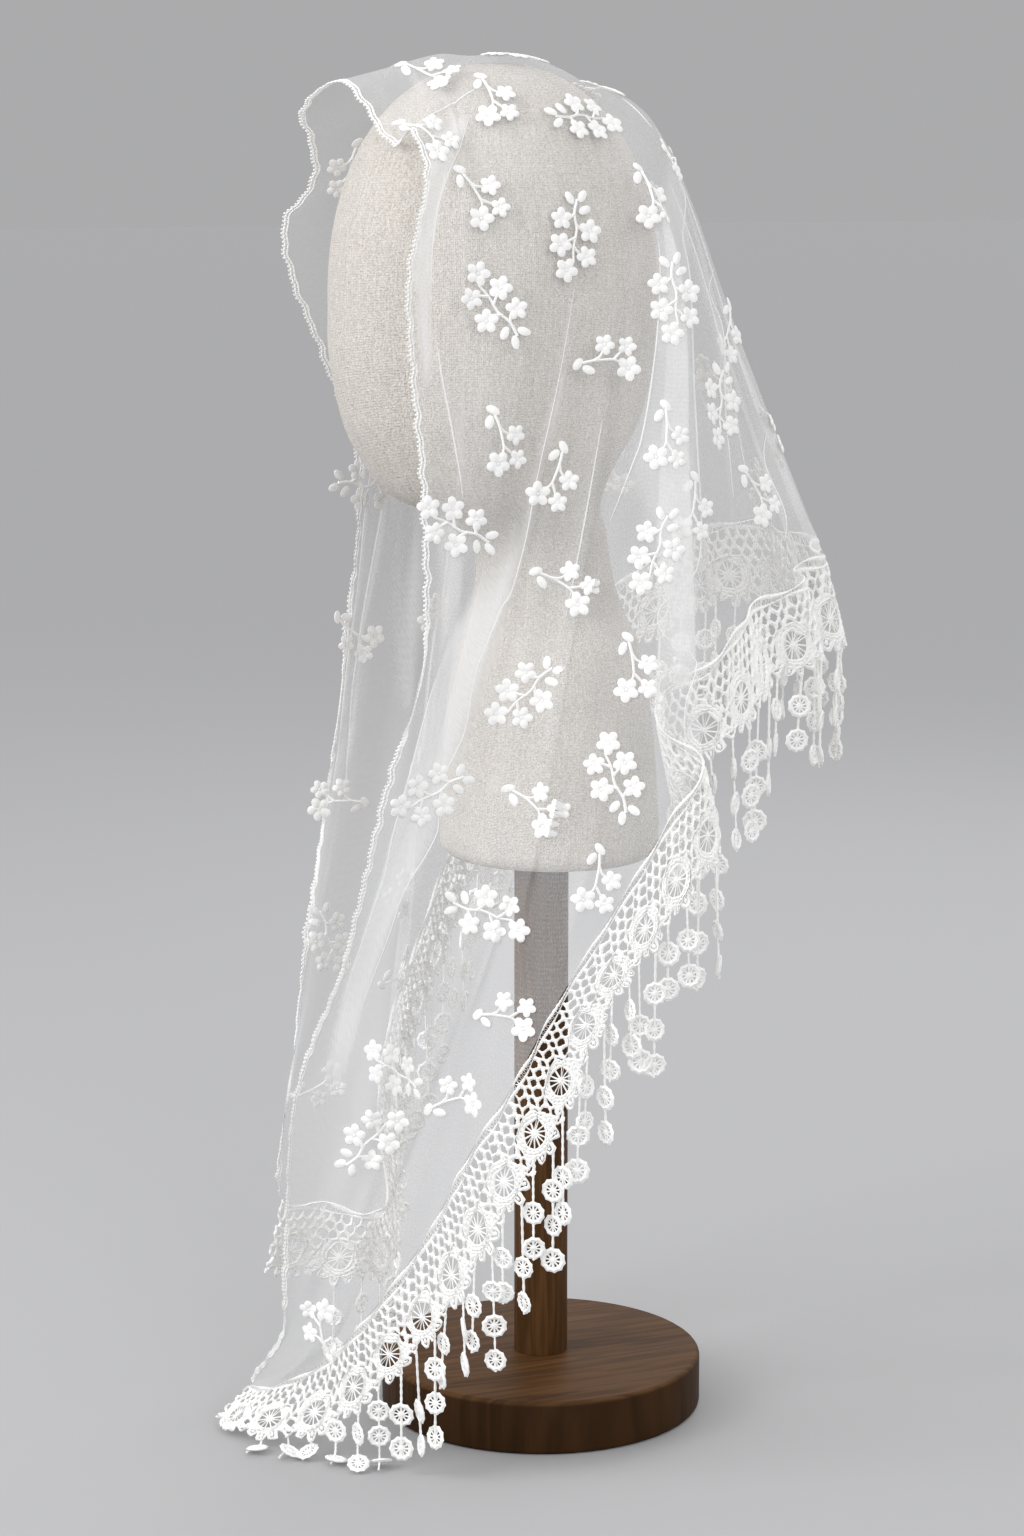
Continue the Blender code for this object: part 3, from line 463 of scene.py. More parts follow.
FLAT_CREASES = (
    Crease(((-0.13, 0.05), (-0.24, 0.05), (-0.36, 0.03), (-0.47, 0.03)), 0.0016, 0.0030, 0.50),
    Crease(((-0.10, 0.15), (-0.20, 0.20), (-0.31, 0.22)), 0.0014, 0.0040, 0.35),
    Crease(((-0.15, 0.02), (-0.29, 0.015), (-0.44, 0.012)), 0.0012, 0.0030, 0.40),
    Crease(((-0.05, 0.19), (-0.08, 0.28), (-0.10, 0.37)), 0.0016, 0.0040, 0.40),
    Crease(((0.01, 0.20), (0.015, 0.29), (0.02, 0.40)), 0.0014, 0.0045, 0.35),
    Crease(((-0.18, 0.11), (-0.33, 0.12), (-0.46, 0.11)), -0.0014, 0.0080, 0.06),
    Crease(((0.06, 0.19), (0.09, 0.27), (0.13, 0.33)), 0.0014, 0.0045, 0.35),
    Crease(((-0.11, 0.20), (-0.17, 0.28), (-0.20, 0.31)), -0.0016, 0.0090, 0.05),
    Crease(((-0.22, 0.08), (-0.37, 0.07), (-0.52, 0.06)), 0.0012, 0.0050, 0.25),
)
# Stretches where the net lies doubled, outlined in pixels of the photograph on the camera's side
Doubled = namedtuple("Doubled", "outline more")
DOUBLED = (
    Doubled(((440, 128), (468, 116), (456, 154), (441, 194), (433, 238), (430, 300), (431, 380),
             (423, 380), (418, 300), (411, 262), (413, 230), (426, 190), (430, 150)), 0.36),
    Doubled(((515, 563), (495, 621), (481, 664), (460, 731), (441, 790), (435, 832), (405, 894), (389, 930),
             (362, 1010), (345, 1070), (330, 1070), (342, 1000), (368, 921), (383, 872), (392, 832),
             (405, 780), (423, 725), (441, 664), (470, 600)), 0.40),
    Doubled(((670, 155), (684, 198), (690, 284), (693, 364), (696, 445), (697, 570), (692, 690), (676, 690),
             (670, 600), (650, 520), (630, 469), (641, 439), (655, 364), (659, 300), (655, 236)), 0.15),
    Doubled(((735, 285), (773, 394), (792, 453), (806, 505), (786, 520), (764, 468), (748, 400),
             (722, 300)), 0.08),
    Doubled(((437, 510), (455, 510), (462, 570), (460, 640), (440, 660), (441, 580)), 0.22),
)
FOLD_EDGES = (
    ((670, 155), (684, 198), (690, 284), (693, 364), (696, 445), (697, 570), (692, 690), (686, 760),
     (690, 842)),
    ((659, 240), (659, 300), (655, 364), (641, 439), (630, 469), (612, 520)),
    ((468, 117), (456, 154), (441, 194), (433, 238), (430, 300)),
    ((575, 290), (560, 380), (537, 470), (522, 540), (500, 610), (478, 667), (460, 731), (441, 790),
     (435, 832), (405, 894), (389, 930), (362, 1010)),
    ((441, 664), (423, 725), (405, 780), (392, 832), (383, 872), (368, 921), (342, 1000)),
    ((435, 335), (447, 410), (462, 500)),
    ((416, 129), (435, 115), (466, 94), (482, 85)),
    ((714, 270), (722, 340), (724, 410), (732, 500)),
    ((740, 330), (765, 430), (785, 540)),
    ((600, 420), (586, 520), (566, 620)),
    ((620, 98), (651, 129), (678, 169), (695, 193), (734, 284), (773, 394), (792, 453), (806, 505)),
)
# The clearest of the flat creases have an edge too, and one more lies beside them
CLEAR_CREASE = 0.35
FLAT_FOLD_EDGES = tuple(crease.line for crease in FLAT_CREASES if crease.bright >= CLEAR_CREASE)
FLAT_FOLD_EDGES += (((-0.17, 0.08), (-0.31, 0.085), (-0.45, 0.075)),)
FOLD_EDGE_THICK = 0.00048
FOLD_EDGE_STEPS = 14
FOLD_EDGE_LIFT = 0.0003
SOFT_WAVES = ((0.0009, 31.0, 9.0, 0.4), (0.0007, -47.0, 23.0, 1.9), (0.0005, 71.0, -38.0, 4.1))


def away_from_line(flat, line):
    """Distance of flat places from a line, and 1 along its middle fading to 0 at its ends."""
    nearest = np.full(flat.shape[:-1], math.inf)
    along_all = np.zeros(flat.shape[:-1])
    for index, (start, end) in enumerate(zip(line, line[1:])):
        run = end - start
        along = np.clip(((flat - start) @ run) / max(run @ run, 1e-9), 0.0, 1.0)
        gap = np.linalg.norm(flat - start - along[..., None] * run, axis=-1)
        closer = gap < nearest
        nearest = np.where(closer, gap, nearest)
        along_all = np.where(closer, (index + along) / (len(line) - 1), along_all)
    return nearest, np.sin(np.pi * np.clip(along_all, 0.02, 0.98)) ** 0.6


LEAST_SOFT = 0.0032
CREASE_NARROWS = 0.6
CREASE_SHOWS = 0.35
FALL_STARTS = 0.16  # how far from the crown the soft waves start
FALL_FADE = 0.10
FREE_EDGE = (0.66, 0.33, 0.0)  # how much of the creases is left in the last rows
FREE_CROWN = 3


def doubled_net(veil):
    """How much denser the net is where it lies doubled on the camera's side."""
    start, right, up, forward = (np.array(part) for part in camera_axes())
    away = veil.points - start
    depth = away @ forward
    across = PHOTO_WIDTH / 2 + FOCAL_PIXELS * (away @ right) / depth
    down = PHOTO_HEIGHT / 2 - FOCAL_PIXELS * (away @ up) / depth
    faces_camera = (veil.normals * away).sum(axis=2) < 0
    faces_camera &= veil.edges[:, None] > 0
    more = np.zeros(across.shape)
    for patch in DOUBLED:
        inside = np.zeros(across.shape, bool)
        for (x1, y1), (x2, y2) in zip(patch.outline, patch.outline[1:] + patch.outline[:1]):
            if y1 != y2:
                crossing = (down < y1) != (down < y2)
                inside ^= crossing & (across < x1 + (x2 - x1) * (down - y1) / (y2 - y1))
        more += patch.more * (inside & faces_camera)
    for axis in (0, 0, 1):
        more = (np.roll(more, 1, axis) + more + np.roll(more, -1, axis)) / 3
    more[:, :2] = 0.0
    return more


def crease_the_net(veil, finder):
    """Raises the creases and a slight unevenness in the net; returns how bright each point is."""
    flat = veil.flat_grid()
    raised = np.zeros(flat.shape[:2])
    bright = np.zeros(flat.shape[:2])
    creases = [(crease, np.array(crease.line)) for crease in FLAT_CREASES]
    creases += [(crease, finder.line(crease.line)) for crease in PHOTO_CREASES]
    for crease, line in creases:
        gap, fade = away_from_line(flat, line)
        raised += crease.height * fade * np.exp(-((gap / crease.width) ** 2))
        soft = max(CREASE_NARROWS * crease.width, LEAST_SOFT)
        bright += CREASE_SHOWS * crease.bright * fade * np.exp(-((gap / soft) ** 2))
    fallen = np.linalg.norm(flat - (0.0, CROWN_DEPTH), axis=2) - FALL_STARTS
    falling = np.clip(fallen / FALL_FADE, 0.0, 1.0)
    for height, across, down, start in SOFT_WAVES:
        raised += height * falling * np.sin(across * flat[..., 0] + down * flat[..., 1] + start)
    bright += doubled_net(veil)
    fixed = np.ones(SHEET_ROWS + 1)
    fixed[:FREE_CROWN] = 0.0
    fixed[-len(FREE_EDGE):] = FREE_EDGE
    veil.points += veil.normals * (raised * fixed)[..., None]
    veil.find_normals()
    return bright


# Making meshes
FLOOR_GAP = 0.0004


def merged(work):
    bmesh.ops.remove_doubles(work, verts=work.verts, dist=1e-6)
    bmesh.ops.recalc_face_normals(work, faces=work.faces)


def scene_object(name, data):
    made = bpy.data.objects.new(name, data)
    bpy.context.scene.collection.objects.link(made)
    return made


def finish_piece(name, mesh, look, replaced=(), sharp=60.0):
    """A named object with its material, riding on the part's one body."""
    mesh.name = name
    mesh.materials.clear()
    mesh.materials.append(look)
    mesh.shade_smooth()
    mesh.set_sharp_from_angle(angle=math.radians(sharp))
    piece = scene_object(name, mesh)
    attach(piece, "root")
    if replaced:
        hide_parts(*replaced)
    return piece


def mesh_of(work):
    mesh = bpy.data.meshes.new("worked")
    work.to_mesh(mesh)
    work.free()
    return mesh


Stitch = namedtuple("Stitch", "points faces")  # a small shape that is repeated


def stitch_of(mesh):
    points = np.array([vertex.co for vertex in mesh.vertices])
    faces = [tuple(face.vertices) for face in mesh.polygons]
    bpy.data.meshes.remove(mesh)
    return Stitch(points, faces)


def joined(stitches, scale=1.0):
    points, faces, start = [], [], 0
    for stitch in stitches:
        points.append(stitch.points)
        faces += [tuple(corner + start for corner in face) for face in stitch.faces]
        start += len(stitch.points)
    return Stitch(np.concatenate(points) * scale, faces)


def repeated(stitch, starts):
    """The stitch at each start along a strip."""
    return joined([Stitch(stitch.points + (start, 0.0, 0.0), stitch.faces) for start in starts])


def mesh_from(stitch):
    """A mesh of the stitch, with no point closer to the floor than a small gap."""
    mesh = bpy.data.meshes.new("stitched")
    points = np.maximum(stitch.points, (-math.inf, -math.inf, FLOOR_GAP))
    mesh.from_pydata(points.tolist(), [], stitch.faces)
    mesh.validate()
    work = bmesh.new()
    work.from_mesh(mesh)
    bpy.data.meshes.remove(mesh)
    bmesh.ops.recalc_face_normals(work, faces=work.faces)
    return mesh_of(work)


def thread(lines, closed=False):
    """Tubes with four sides along lines of (points, radii)."""
    curve = bpy.data.curves.new("thread", "CURVE")
    curve.dimensions = "3D"
    curve.bevel_depth = 1.0
    curve.bevel_resolution = 0
    curve.use_fill_caps = not closed
    for points, radii in lines:
        points = np.asarray(points, float)
        if points.shape[1] == 2:
            points = with_zero(points)
        spline = curve.splines.new("POLY")
        spline.points.add(len(points) - 1)
        spline.points.foreach_set("co", with_zero(points).ravel())
        spline.points.foreach_set("radius", np.broadcast_to(radii, len(points)).astype(float))
        spline.use_cyclic_u = closed
    holder = scene_object("thread", curve)
    depsgraph = bpy.context.evaluated_depsgraph_get()
    mesh = bpy.data.meshes.new_from_object(holder.evaluated_get(depsgraph))
    bpy.data.objects.remove(holder)
    work = bmesh.new()
    work.from_mesh(mesh)
    bpy.data.meshes.remove(mesh)
    merged(work)
    return stitch_of(mesh_of(work))


def bead(rounds, levels):
    work = bmesh.new()
    bmesh.ops.create_uvsphere(work, u_segments=rounds, v_segments=levels, radius=1.0)
    return stitch_of(mesh_of(work))


def lump(shape, centre, half_sizes, turn=0.0):
    """A bead stretched to an oval, turned in the flat, at a flat centre."""
    points = shape.points * np.array(half_sizes)
    spun = points @ np.array(Matrix.Rotation(turn, 3, "Z")).T
    return Stitch(spun + np.array((*centre, 0.0)), shape.faces)


# Crochet border. All sizes in this block are millimetres on the cloth, and the pattern is
# drawn for one wheel. Each border holds as many as its own length along the drape takes.
MM = 0.001
PITCH_MM = 31.0
WHEEL_CENTRE = (PITCH_MM / 2, 29.5)
WHEEL_OUTER = 11.6
WHEEL_INNER = 7.6
SPOKES = 14
RING_LUMPS = 22
MESH_ROWS = (9.6, 15.0, 20.4, 25.8, 31.2, 36.6)
MESH_CELLS = 5
ZIGZAG = 1.3
MESH_THREAD = 1.02
HEADER_LINES = (0.9, 4.3)
HEADER_STEPS = 25
LOWEST_SHELL = WHEEL_CENTRE[1] + 16.0
BETWEEN_WHEELS = 41.5
CHAIN = ((26.4, 36.6), (28.6, 40.2), (PITCH_MM, BETWEEN_WHEELS))
CHAIN_THREAD = 0.75
# Half sizes of a knot and of the hub, and below of a shell
KNOT = (1.75, 1.6, 1.1)
HUB = (1.6, 1.6, 0.9)
SPOKE_START, SPOKE_PAST_RING = 0.8, 0.3
SPOKE_THREAD = (0.46, 0.38)
Ring = namedtuple("Ring", "radius depth start thick")
RINGS = (
    Ring(WHEEL_INNER + 0.6, 0.15, 0.0, 0.72),
    Ring(9.9, 0.35, 1.5, 0.95),
    Ring(WHEEL_OUTER, 0.35, 3.0, 0.80),
)
SHELLS = 5
SHELL_TURN = 30  # degrees
SHELL = (1.35, 1.0, 0.8)
SHELL_AT, ARCH_FOOT, ARCH_TOP = 13.6, 12.0, 15.9  # from the wheel's centre
ARCH_HALF_TURN, ARCH_HALF_WIDTH = 0.22, 1.4
BORDER_SEED = {NEAR: 1.0, FAR: 2.3}
HAND_SHIFT = 0.5


def outside_wheel(points):
    """Flat points with those inside a wheel drawn out to its rim."""
    points = np.array(points, float)
    for middle in (WHEEL_CENTRE[0] - PITCH_MM, WHEEL_CENTRE[0], WHEEL_CENTRE[0] + PITCH_MM):
        away = points - np.array((middle, WHEEL_CENTRE[1]))
        size = np.linalg.norm(away, axis=1)
        inner = size < WHEEL_OUTER
        points[inner] = (middle, WHEEL_CENTRE[1]) + away[inner] * (WHEEL_OUTER / size[inner])[:, None]
    return points


def lumpy(start, end, thick):
    """A short stitched thread: six points, thicker at every other one."""
    points = np.linspace(start, end, 6)
    return points, thick * np.array((1.05, 0.8, 1.2, 0.85, 1.2, 0.9))


def mesh_lines():
    """The zigzag rows and posts between the header and the wheels, and their knots."""
    lines, knots = [], []
    half = PITCH_MM / (2 * MESH_CELLS)
    rows = (HEADER_LINES[1],) + MESH_ROWS
    reach = WHEEL_OUTER - 1.0
    for level, down in enumerate(rows):
        zigzag = [
            (step * half, down + ZIGZAG * (-1) ** (step + level) * min(level, 1))
            for step in range(2 * MESH_CELLS + 1)
        ]
        for step, (first, second) in enumerate(zip(zigzag, zigzag[1:])):
            gaps = [math.dist(point, WHEEL_CENTRE) for point in (first, second)]
            if level and max(gaps) > reach:
                lines.append(lumpy(*outside_wheel([first, second]), MESH_THREAD))
                if min(gaps) > reach:
                    knots.append(first)
            if level and (step + level) % 2:
                top = (first[0], rows[level - 1] + ZIGZAG * min(level - 1, 1))
                if math.dist(top, WHEEL_CENTRE) > reach:
                    lines.append(lumpy(*outside_wheel([top, first]), MESH_THREAD))
    return lines, knots


def lumped(count, thin, swell, start=0):
    """Thread radii, thicker at every other point."""
    return thin + swell * ((np.arange(count) + start) % 2)


def ring_line(centre, radius, bumps, depth, start=0.0):
    angles = np.arange(3 * bumps) * math.tau / (3 * bumps)
    size = radius + depth * np.cos(bumps * angles + start)
    return np.array(centre) + size[:, None] * pointing(angles)


def wheel_stitches(oval, dot):
    """A wheel: spokes from its hub, three lumpy rings, and shells round its lower half."""
    centre = np.array(WHEEL_CENTRE)
    lines = []
    for spoke in range(SPOKES):
        out = pointing(math.tau * (spoke + 0.5) / SPOKES)
        ends = [centre + out * SPOKE_START, centre + out * (WHEEL_INNER + SPOKE_PAST_RING)]
        lines.append((ends, SPOKE_THREAD))
    swell = 1.0 + 0.3 * (np.arange(3 * RING_LUMPS) % 3 == 0)
    rings = [
        (ring_line(centre, ring.radius, RING_LUMPS, ring.depth, ring.start), ring.thick * swell)
        for ring in RINGS
    ]
    made = [lump(dot, centre, HUB), thread(rings, closed=True)]
    for shell in range(SHELLS):
        angle = math.radians(SHELL_TURN * (shell + 1))
        out = pointing(angle)
        beside = np.array((-out[1], out[0]))
        made.append(lump(oval, centre + out * SHELL_AT, SHELL, angle))
        feet = [centre + ARCH_FOOT * pointing(angle + side * ARCH_HALF_TURN) for side in (-1, 1)]
        top = [centre + out * ARCH_TOP + beside * side * ARCH_HALF_WIDTH for side in (-1, 1)]
        arch = smooth_through((feet[0], *top, feet[1]), 3)
        lines.append((arch, lumped(len(arch), 0.75, 0.30)))
    return made, lines


def plait(length, downs, steps, thin, swell, cross, shift):
    """Two lumpy threads along a strip, and a thinner one that goes to and fro between them."""
    along = np.linspace(0.0, length, steps)
    to_and_fro = np.where(np.arange(steps) % 2, *downs)
    lines = [(np.stack([along, to_and_fro], axis=1), cross)]
    for down, start in zip(downs, (0, shift)):
        points = np.stack([along, np.full(steps, down)], axis=1)
        lines.append((points, lumped(steps, thin, swell, start)))
    return lines


def border_repeat(pitch):
    """One wheel with its mesh above, its shells and its chains, flat, fitted to a pitch."""
    oval, dot = bead(8, 4), bead(6, 3)
    lines, knots = mesh_lines()
    made, more = wheel_stitches(oval, dot)
    mirrored = [(PITCH_MM - along, down) for along, down in CHAIN]
    lines += more + [(CHAIN, CHAIN_THREAD), (mirrored, CHAIN_THREAD)]
    lines += plait(PITCH_MM, HEADER_LINES, HEADER_STEPS, 0.62, 0.30, 0.40, shift=0)
    knots.append((0.0, BETWEEN_WHEELS))
    knots = [knot for knot in knots if knot[0] < PITCH_MM - 0.1]
    made += [lump(dot, knot, KNOT) for knot in outside_wheel(knots)]
    return joined(made + [thread(lines)], np.array((pitch / PITCH_MM, MM, MM)))


def hand_made(points, seed):
    """Small slow shifts in the flat, so that no two repeats are alike."""
    moved = points.copy()
    for wave in (seed + 1, seed + 2):
        moved[:, 0] += HAND_SHIFT * MM * np.sin(points[:, 0] * 210.0 * wave + points[:, 1] * 330.0 + seed)
        moved[:, 1] += HAND_SHIFT * MM * np.sin(points[:, 1] * 260.0 * wave + points[:, 0] * 170.0 + 2 * seed)
    return moved


def wheels_along(veil, side):
    """How many wheels fit one border along the drape, and their pitch."""
    length = veil.borders[side].lengths[-1]
    count = round(length / (PITCH_MM * MM))
    return count, length / count


def add_border(veil, side, look):
    count, pitch = wheels_along(veil, side)
    lace = repeated(border_repeat(pitch), np.arange(count) * pitch)
    flat = hand_made(lace.points, BORDER_SEED[side])
    flat[:, 0] = np.clip(flat[:, 0], 0.0, count * pitch - 0.001)
    places, _ = veil.on_border(side, flat[:, :2], flat[:, 2])
    mesh = mesh_from(Stitch(places, lace.faces))
    return finish_piece(f"crochet_border_{HAND[side]}", mesh, look, (f"lace_border_{HAND[side]}",))


# Fringe
DISC_MM = 6.4
DISC_HOLES = 10
StringStyle = namedtuple("StringStyle", "length discs")
STRING_STYLES = (
    StringStyle(0.063, 3), StringStyle(0.043, 2), StringStyle(0.066, 3), StringStyle(0.041, 2),
    StringStyle(0.060, 3), StringStyle(0.046, 2), StringStyle(0.058, 2),
)
DISC_SPACING = 0.0190
CORD_STEPS = 26
BARE_AT_TIP = 2  # strings left out where the tip folds under
FLOOR_LIE = 0.0018
DISC_RISE = 0.9  # share of its radius that a tilted disc on the floor stands up
FLOOR_SHARE = 0.24  # how much of the cord that reaches the floor shows as length there
NEAR_LEAN = 0.5
BEND_HEIGHT = 0.006
KNEE_OUT = 0.002
CORD_RADIUS, CORD_SWELL = 0.00055, 0.00022
# The disc's parts, in millimetres
DISC_RIM = 1.25
DISC_SCALLOP = 0.40
DISC_CENTRE = (2.1, 2.1, 1.0)
DISC_SPOKES = (1.4, 4.6)
DISC_FLATTENED = np.array((1.0, 1.0, 0.75))
FRINGE_SEED = {NEAR: 7, FAR: 19}


def crochet_disc():
    rim = ring_line((0.0, 0.0), DISC_MM - DISC_RIM, DISC_HOLES, DISC_SCALLOP)
    lines = []
    for hole in range(DISC_HOLES):
        out = pointing(math.tau * hole / DISC_HOLES)
        lines.append(([out * reach for reach in DISC_SPOKES], (0.42, 0.50)))
    middle = lump(bead(8, 4), (0.0, 0.0), DISC_CENTRE)
    return joined([thread([(rim, DISC_RIM)], closed=True), thread(lines), middle], MM * DISC_FLATTENED)


def string_path(root, length, turn):
    """Straight down, and along the floor where that is near; the run of points."""
    room = max(root[2] - FLOOR_LIE, 0.0)
    if room >= length:
        return np.linspace(root, root - np.array((0.0, 0.0, length)), 16)
    flat = np.array((root[0], root[1], 0.0)) / math.hypot(root[0], root[1])
    lean = flat + np.array((NEAR_LEAN, 0.0, 0.0))
    lean = lean / np.linalg.norm(lean)
    cos, sin = math.cos(turn), math.sin(turn)
    lean = np.array((lean[0] * cos - lean[1] * sin, lean[0] * sin + lean[1] * cos, 0.0))
    foot = root - np.array((0.0, 0.0, root[2] - FLOOR_LIE))
    bend = np.array((0.0, 0.0, min(room, BEND_HEIGHT)))
    end = foot + lean * (length - room) * FLOOR_SHARE
    return smooth_through([root, foot + bend, foot + lean * KNEE_OUT + bend * 0.25, end], 6)


def add_fringe(veil, side, look):
    """Two strings of crochet discs at each wheel."""
    disc = crochet_disc()
    chance = np.random.RandomState(FRINGE_SEED[side])
    cords, discs = [], []
    count, pitch = wheels_along(veil, side)
    for string in range(BARE_AT_TIP, 2 * count - 1):
        down = (LOWEST_SHELL if string % 2 == 0 else BETWEEN_WHEELS) * MM
        root, normal = (part[0] for part in veil.on_border(side, [((string + 1) * pitch / 2, down)]))
        style = STRING_STYLES[chance.randint(len(STRING_STYLES))]
        length = style.length * chance.uniform(0.94, 1.06)
        path = string_path(root, length, chance.uniform(-0.5, 0.5))
        sway = np.array((*chance.uniform(-0.0025, 0.0025, 2), 0.0))
        path = path + sway * np.linspace(0.0, 1.0, len(path))[:, None]
        lengths = run_along(path)
        cord = resampled(np.linspace(0.0, lengths[-1], CORD_STEPS), lengths, path)
        cords.append((cord, lumped(CORD_STEPS, CORD_RADIUS, CORD_SWELL)))
        yaw = math.atan2(normal[1], normal[0]) + chance.uniform(-0.6, 0.6)
        shown = lengths[-1] / length
        for disc_number in range(style.discs):
            spot = lengths[-1] - (DISC_MM * MM + disc_number * DISC_SPACING) * max(shown, 0.75)
            if spot < 0.004:
                break
            centre = resampled(spot, lengths, path)
            yaw += chance.uniform(-0.5, 0.5)
            facing = Vector((math.cos(yaw), math.sin(yaw), chance.uniform(-0.2, 0.2)))
            if centre[2] < DISC_MM * MM:
                tilt = chance.uniform(0.05, 0.60)
                heading = chance.uniform(0.0, math.tau)
                facing = Vector((tilt * math.cos(heading), tilt * math.sin(heading), 1.0)).normalized()
                centre[:2] += chance.uniform(-0.004, 0.004, 2)
                centre[2] = FLOOR_LIE + DISC_MM * MM * DISC_RISE * math.hypot(facing[0], facing[1])
            turn = Matrix.Rotation(chance.uniform(0.0, 1.0), 3, "Z")
            frame = np.array(facing.to_track_quat("Z", "Y").to_matrix() @ turn)
            scale = chance.uniform(0.92, 1.06)
            discs.append(Stitch(disc.points @ frame.T * scale + centre, disc.faces))
    mesh = mesh_from(joined([thread(cords)] + discs))
    return finish_piece(f"disc_fringe_{HAND[side]}", mesh, look, (f"fringe_{HAND[side]}",))


# Braid along the plain side
BRAID_STEP_MM = 6.9
# Across the braid and along it, in millimetres
BRAID_LINES = (0.1, 1.9)
BRAID_STEPS = 7
BRAID_KNOTS = (1.15, 3.45, 5.75)
BRAID_KNOT_DOWN = 2.9
BRAID_KNOT = (0.75, 0.85, 0.6)
# On the net, in metres
BRAID_ENDS = 0.002
BRAID_EDGE, BRAID_INSIDE = 0.0001, 0.0051
BRAID_SAMPLES = 1400


def add_braid(veil, look):
    dot = bead(6, 3)
    made = [thread(plait(BRAID_STEP_MM, BRAID_LINES, BRAID_STEPS, 0.42, 0.22, 0.32, shift=1))]
    made += [lump(dot, (along, BRAID_KNOT_DOWN), BRAID_KNOT) for along in BRAID_KNOTS]
    samples = np.linspace(-NET_HALF_SIDE + BRAID_ENDS, NET_HALF_SIDE - BRAID_ENDS, BRAID_SAMPLES)
    edge, normals = veil.on_net(with_zero(samples[:, None]) + (0.0, BRAID_EDGE))
    inside, _ = veil.on_net(with_zero(samples[:, None]) + (0.0, BRAID_INSIDE))
    lengths = run_along(edge)
    count = round(lengths[-1] / (BRAID_STEP_MM * MM))
    braid = repeated(joined(made, MM), lengths[-1] / count * np.arange(count))
    along, down, lift = braid.points.T
    down = down + HAND_SHIFT * MM * (np.sin(along * 290.0) + np.sin(along * 530.0 + 1.0))
    place = np.interp(along, lengths, np.arange(len(samples)))
    out = unit_rows(at_rows(edge - inside, place))
    places = at_rows(edge, place) + out * down[:, None] + at_rows(normals, place) * lift[:, None]
    mesh = mesh_from(Stitch(places, braid.faces))
    return finish_piece("edge_braid", mesh, look, ("front_edge_braid",))


# Embroidered sprigs. Stems, flowers (x, y, size) and leaves (x, y, turn) in millimetres.
# The first number is across, as seen from outside, and the second is down the cloth.
Sprig = namedtuple("Sprig", "stems flowers leaves")
SMALL_SPRIG = Sprig(
    stems=(
        ((-9, -11), (-5, -6), (-2, -1), (0.5, 4), (0.5, 9)),
        ((-5, -6), (-1.5, -4), (2, -4)),
        ((0, 3), (4, 4.5), (6.5, 5.5)),
    ),
    flowers=((5.0, -4.5, 0.85), (10.0, 7.0, 0.82), (0.0, 12.5, 1.05)),
    leaves=((-10.5, -13.0, 0.2), (-10.5, -6.5, 1.5)),
)
LARGE_SPRIG = Sprig(
    stems=(
        ((0, -20), (-1, -12), (1, -4), (0, 5), (1, 13)),
        ((-1, -12), (-4, -9), (-6, -8)),
        ((0, -7), (4, -4), (6, -3)),
        ((1, 0), (-4, 3), (-6, 4)),
        ((0, 5), (4, 8), (6, 9)),
    ),
    flowers=((-8, -8.5, 0.92), (8.5, -4.5, 1.0), (-7.5, 5.0, 1.0), (8.0, 9.0, 0.9), (-2.5, 17.5, 1.0)),
    leaves=((2.8, -22.0, 2.0), (-4.2, -20.0, 0.9), (4.6, -15.0, 2.6)),
)
PETALS = 5
# Where they show in the photograph: pixels across and down, and how far turned
SMALL_SEEN = (
    (482, 195, 0.0), (607, 357, -1.1), (505, 432, 0.3), (668, 440, 0.6), (568, 585, -0.55),
    (536, 802, -0.5), (760, 495, 0.0), (505, 1015, -1.0), (597, 885, 0.7), (634, 668, 0.4),
    (556, 480, 0.9), (430, 73, -0.6), (493, 97, 0.3), (430, 132, -0.3), (655, 195, 0.6),
    (700, 215, 2.0), (728, 330, 1.0), (768, 385, 0.5),
)
LARGE_SEEN = (
    (495, 305, 2.5), (573, 237, 0.15), (525, 695, 0.8), (618, 775, 2.8), (587, 118, -1.5),
    (490, 918, -1.3), (655, 550, 0.3), (672, 300, 0.0), (718, 410, 0.2),
)
SPRIG_SPACING = 0.045
SPRIG_APART = 0.052
LAYERS_APART = 0.075
EDGE_MARGIN = 0.018
SEEN_EDGE_MARGIN = 0.006
SCATTER = 0.007
FIRST_ROW = 0.024
# In millimetres: a petal's middle from the flower's, then half sizes
PETAL_OUT = 3.7
PETAL_LONG, PETAL_WIDE, PETAL_HIGH = 3.0, 2.55, 0.8
FLOWER_HEART = (1.2, 1.2, 0.7)
LEAF = (3.9, 2.3, 0.8)


def flat_sprig(sprig):
    petal, dot = bead(10, 5), bead(6, 3)
    lines = []
    for stem in sprig.stems:
        points = smooth_through(stem, 3)
        lines.append((points, np.linspace(0.85, 0.6, len(points))))
    made = [thread(lines)]
    for across, down, size in sprig.flowers:
        for turn in range(PETALS):
            angle = math.tau * turn / PETALS + across
            middle = (across, down) + PETAL_OUT * size * pointing(angle)
            made.append(lump(petal, middle, (PETAL_LONG * size, PETAL_WIDE * size, PETAL_HIGH), angle))
        made.append(lump(dot, (across, down), FLOWER_HEART))
    made += [lump(petal, (across, down), LEAF, turn) for across, down, turn in sprig.leaves]
    return joined(made, MM)


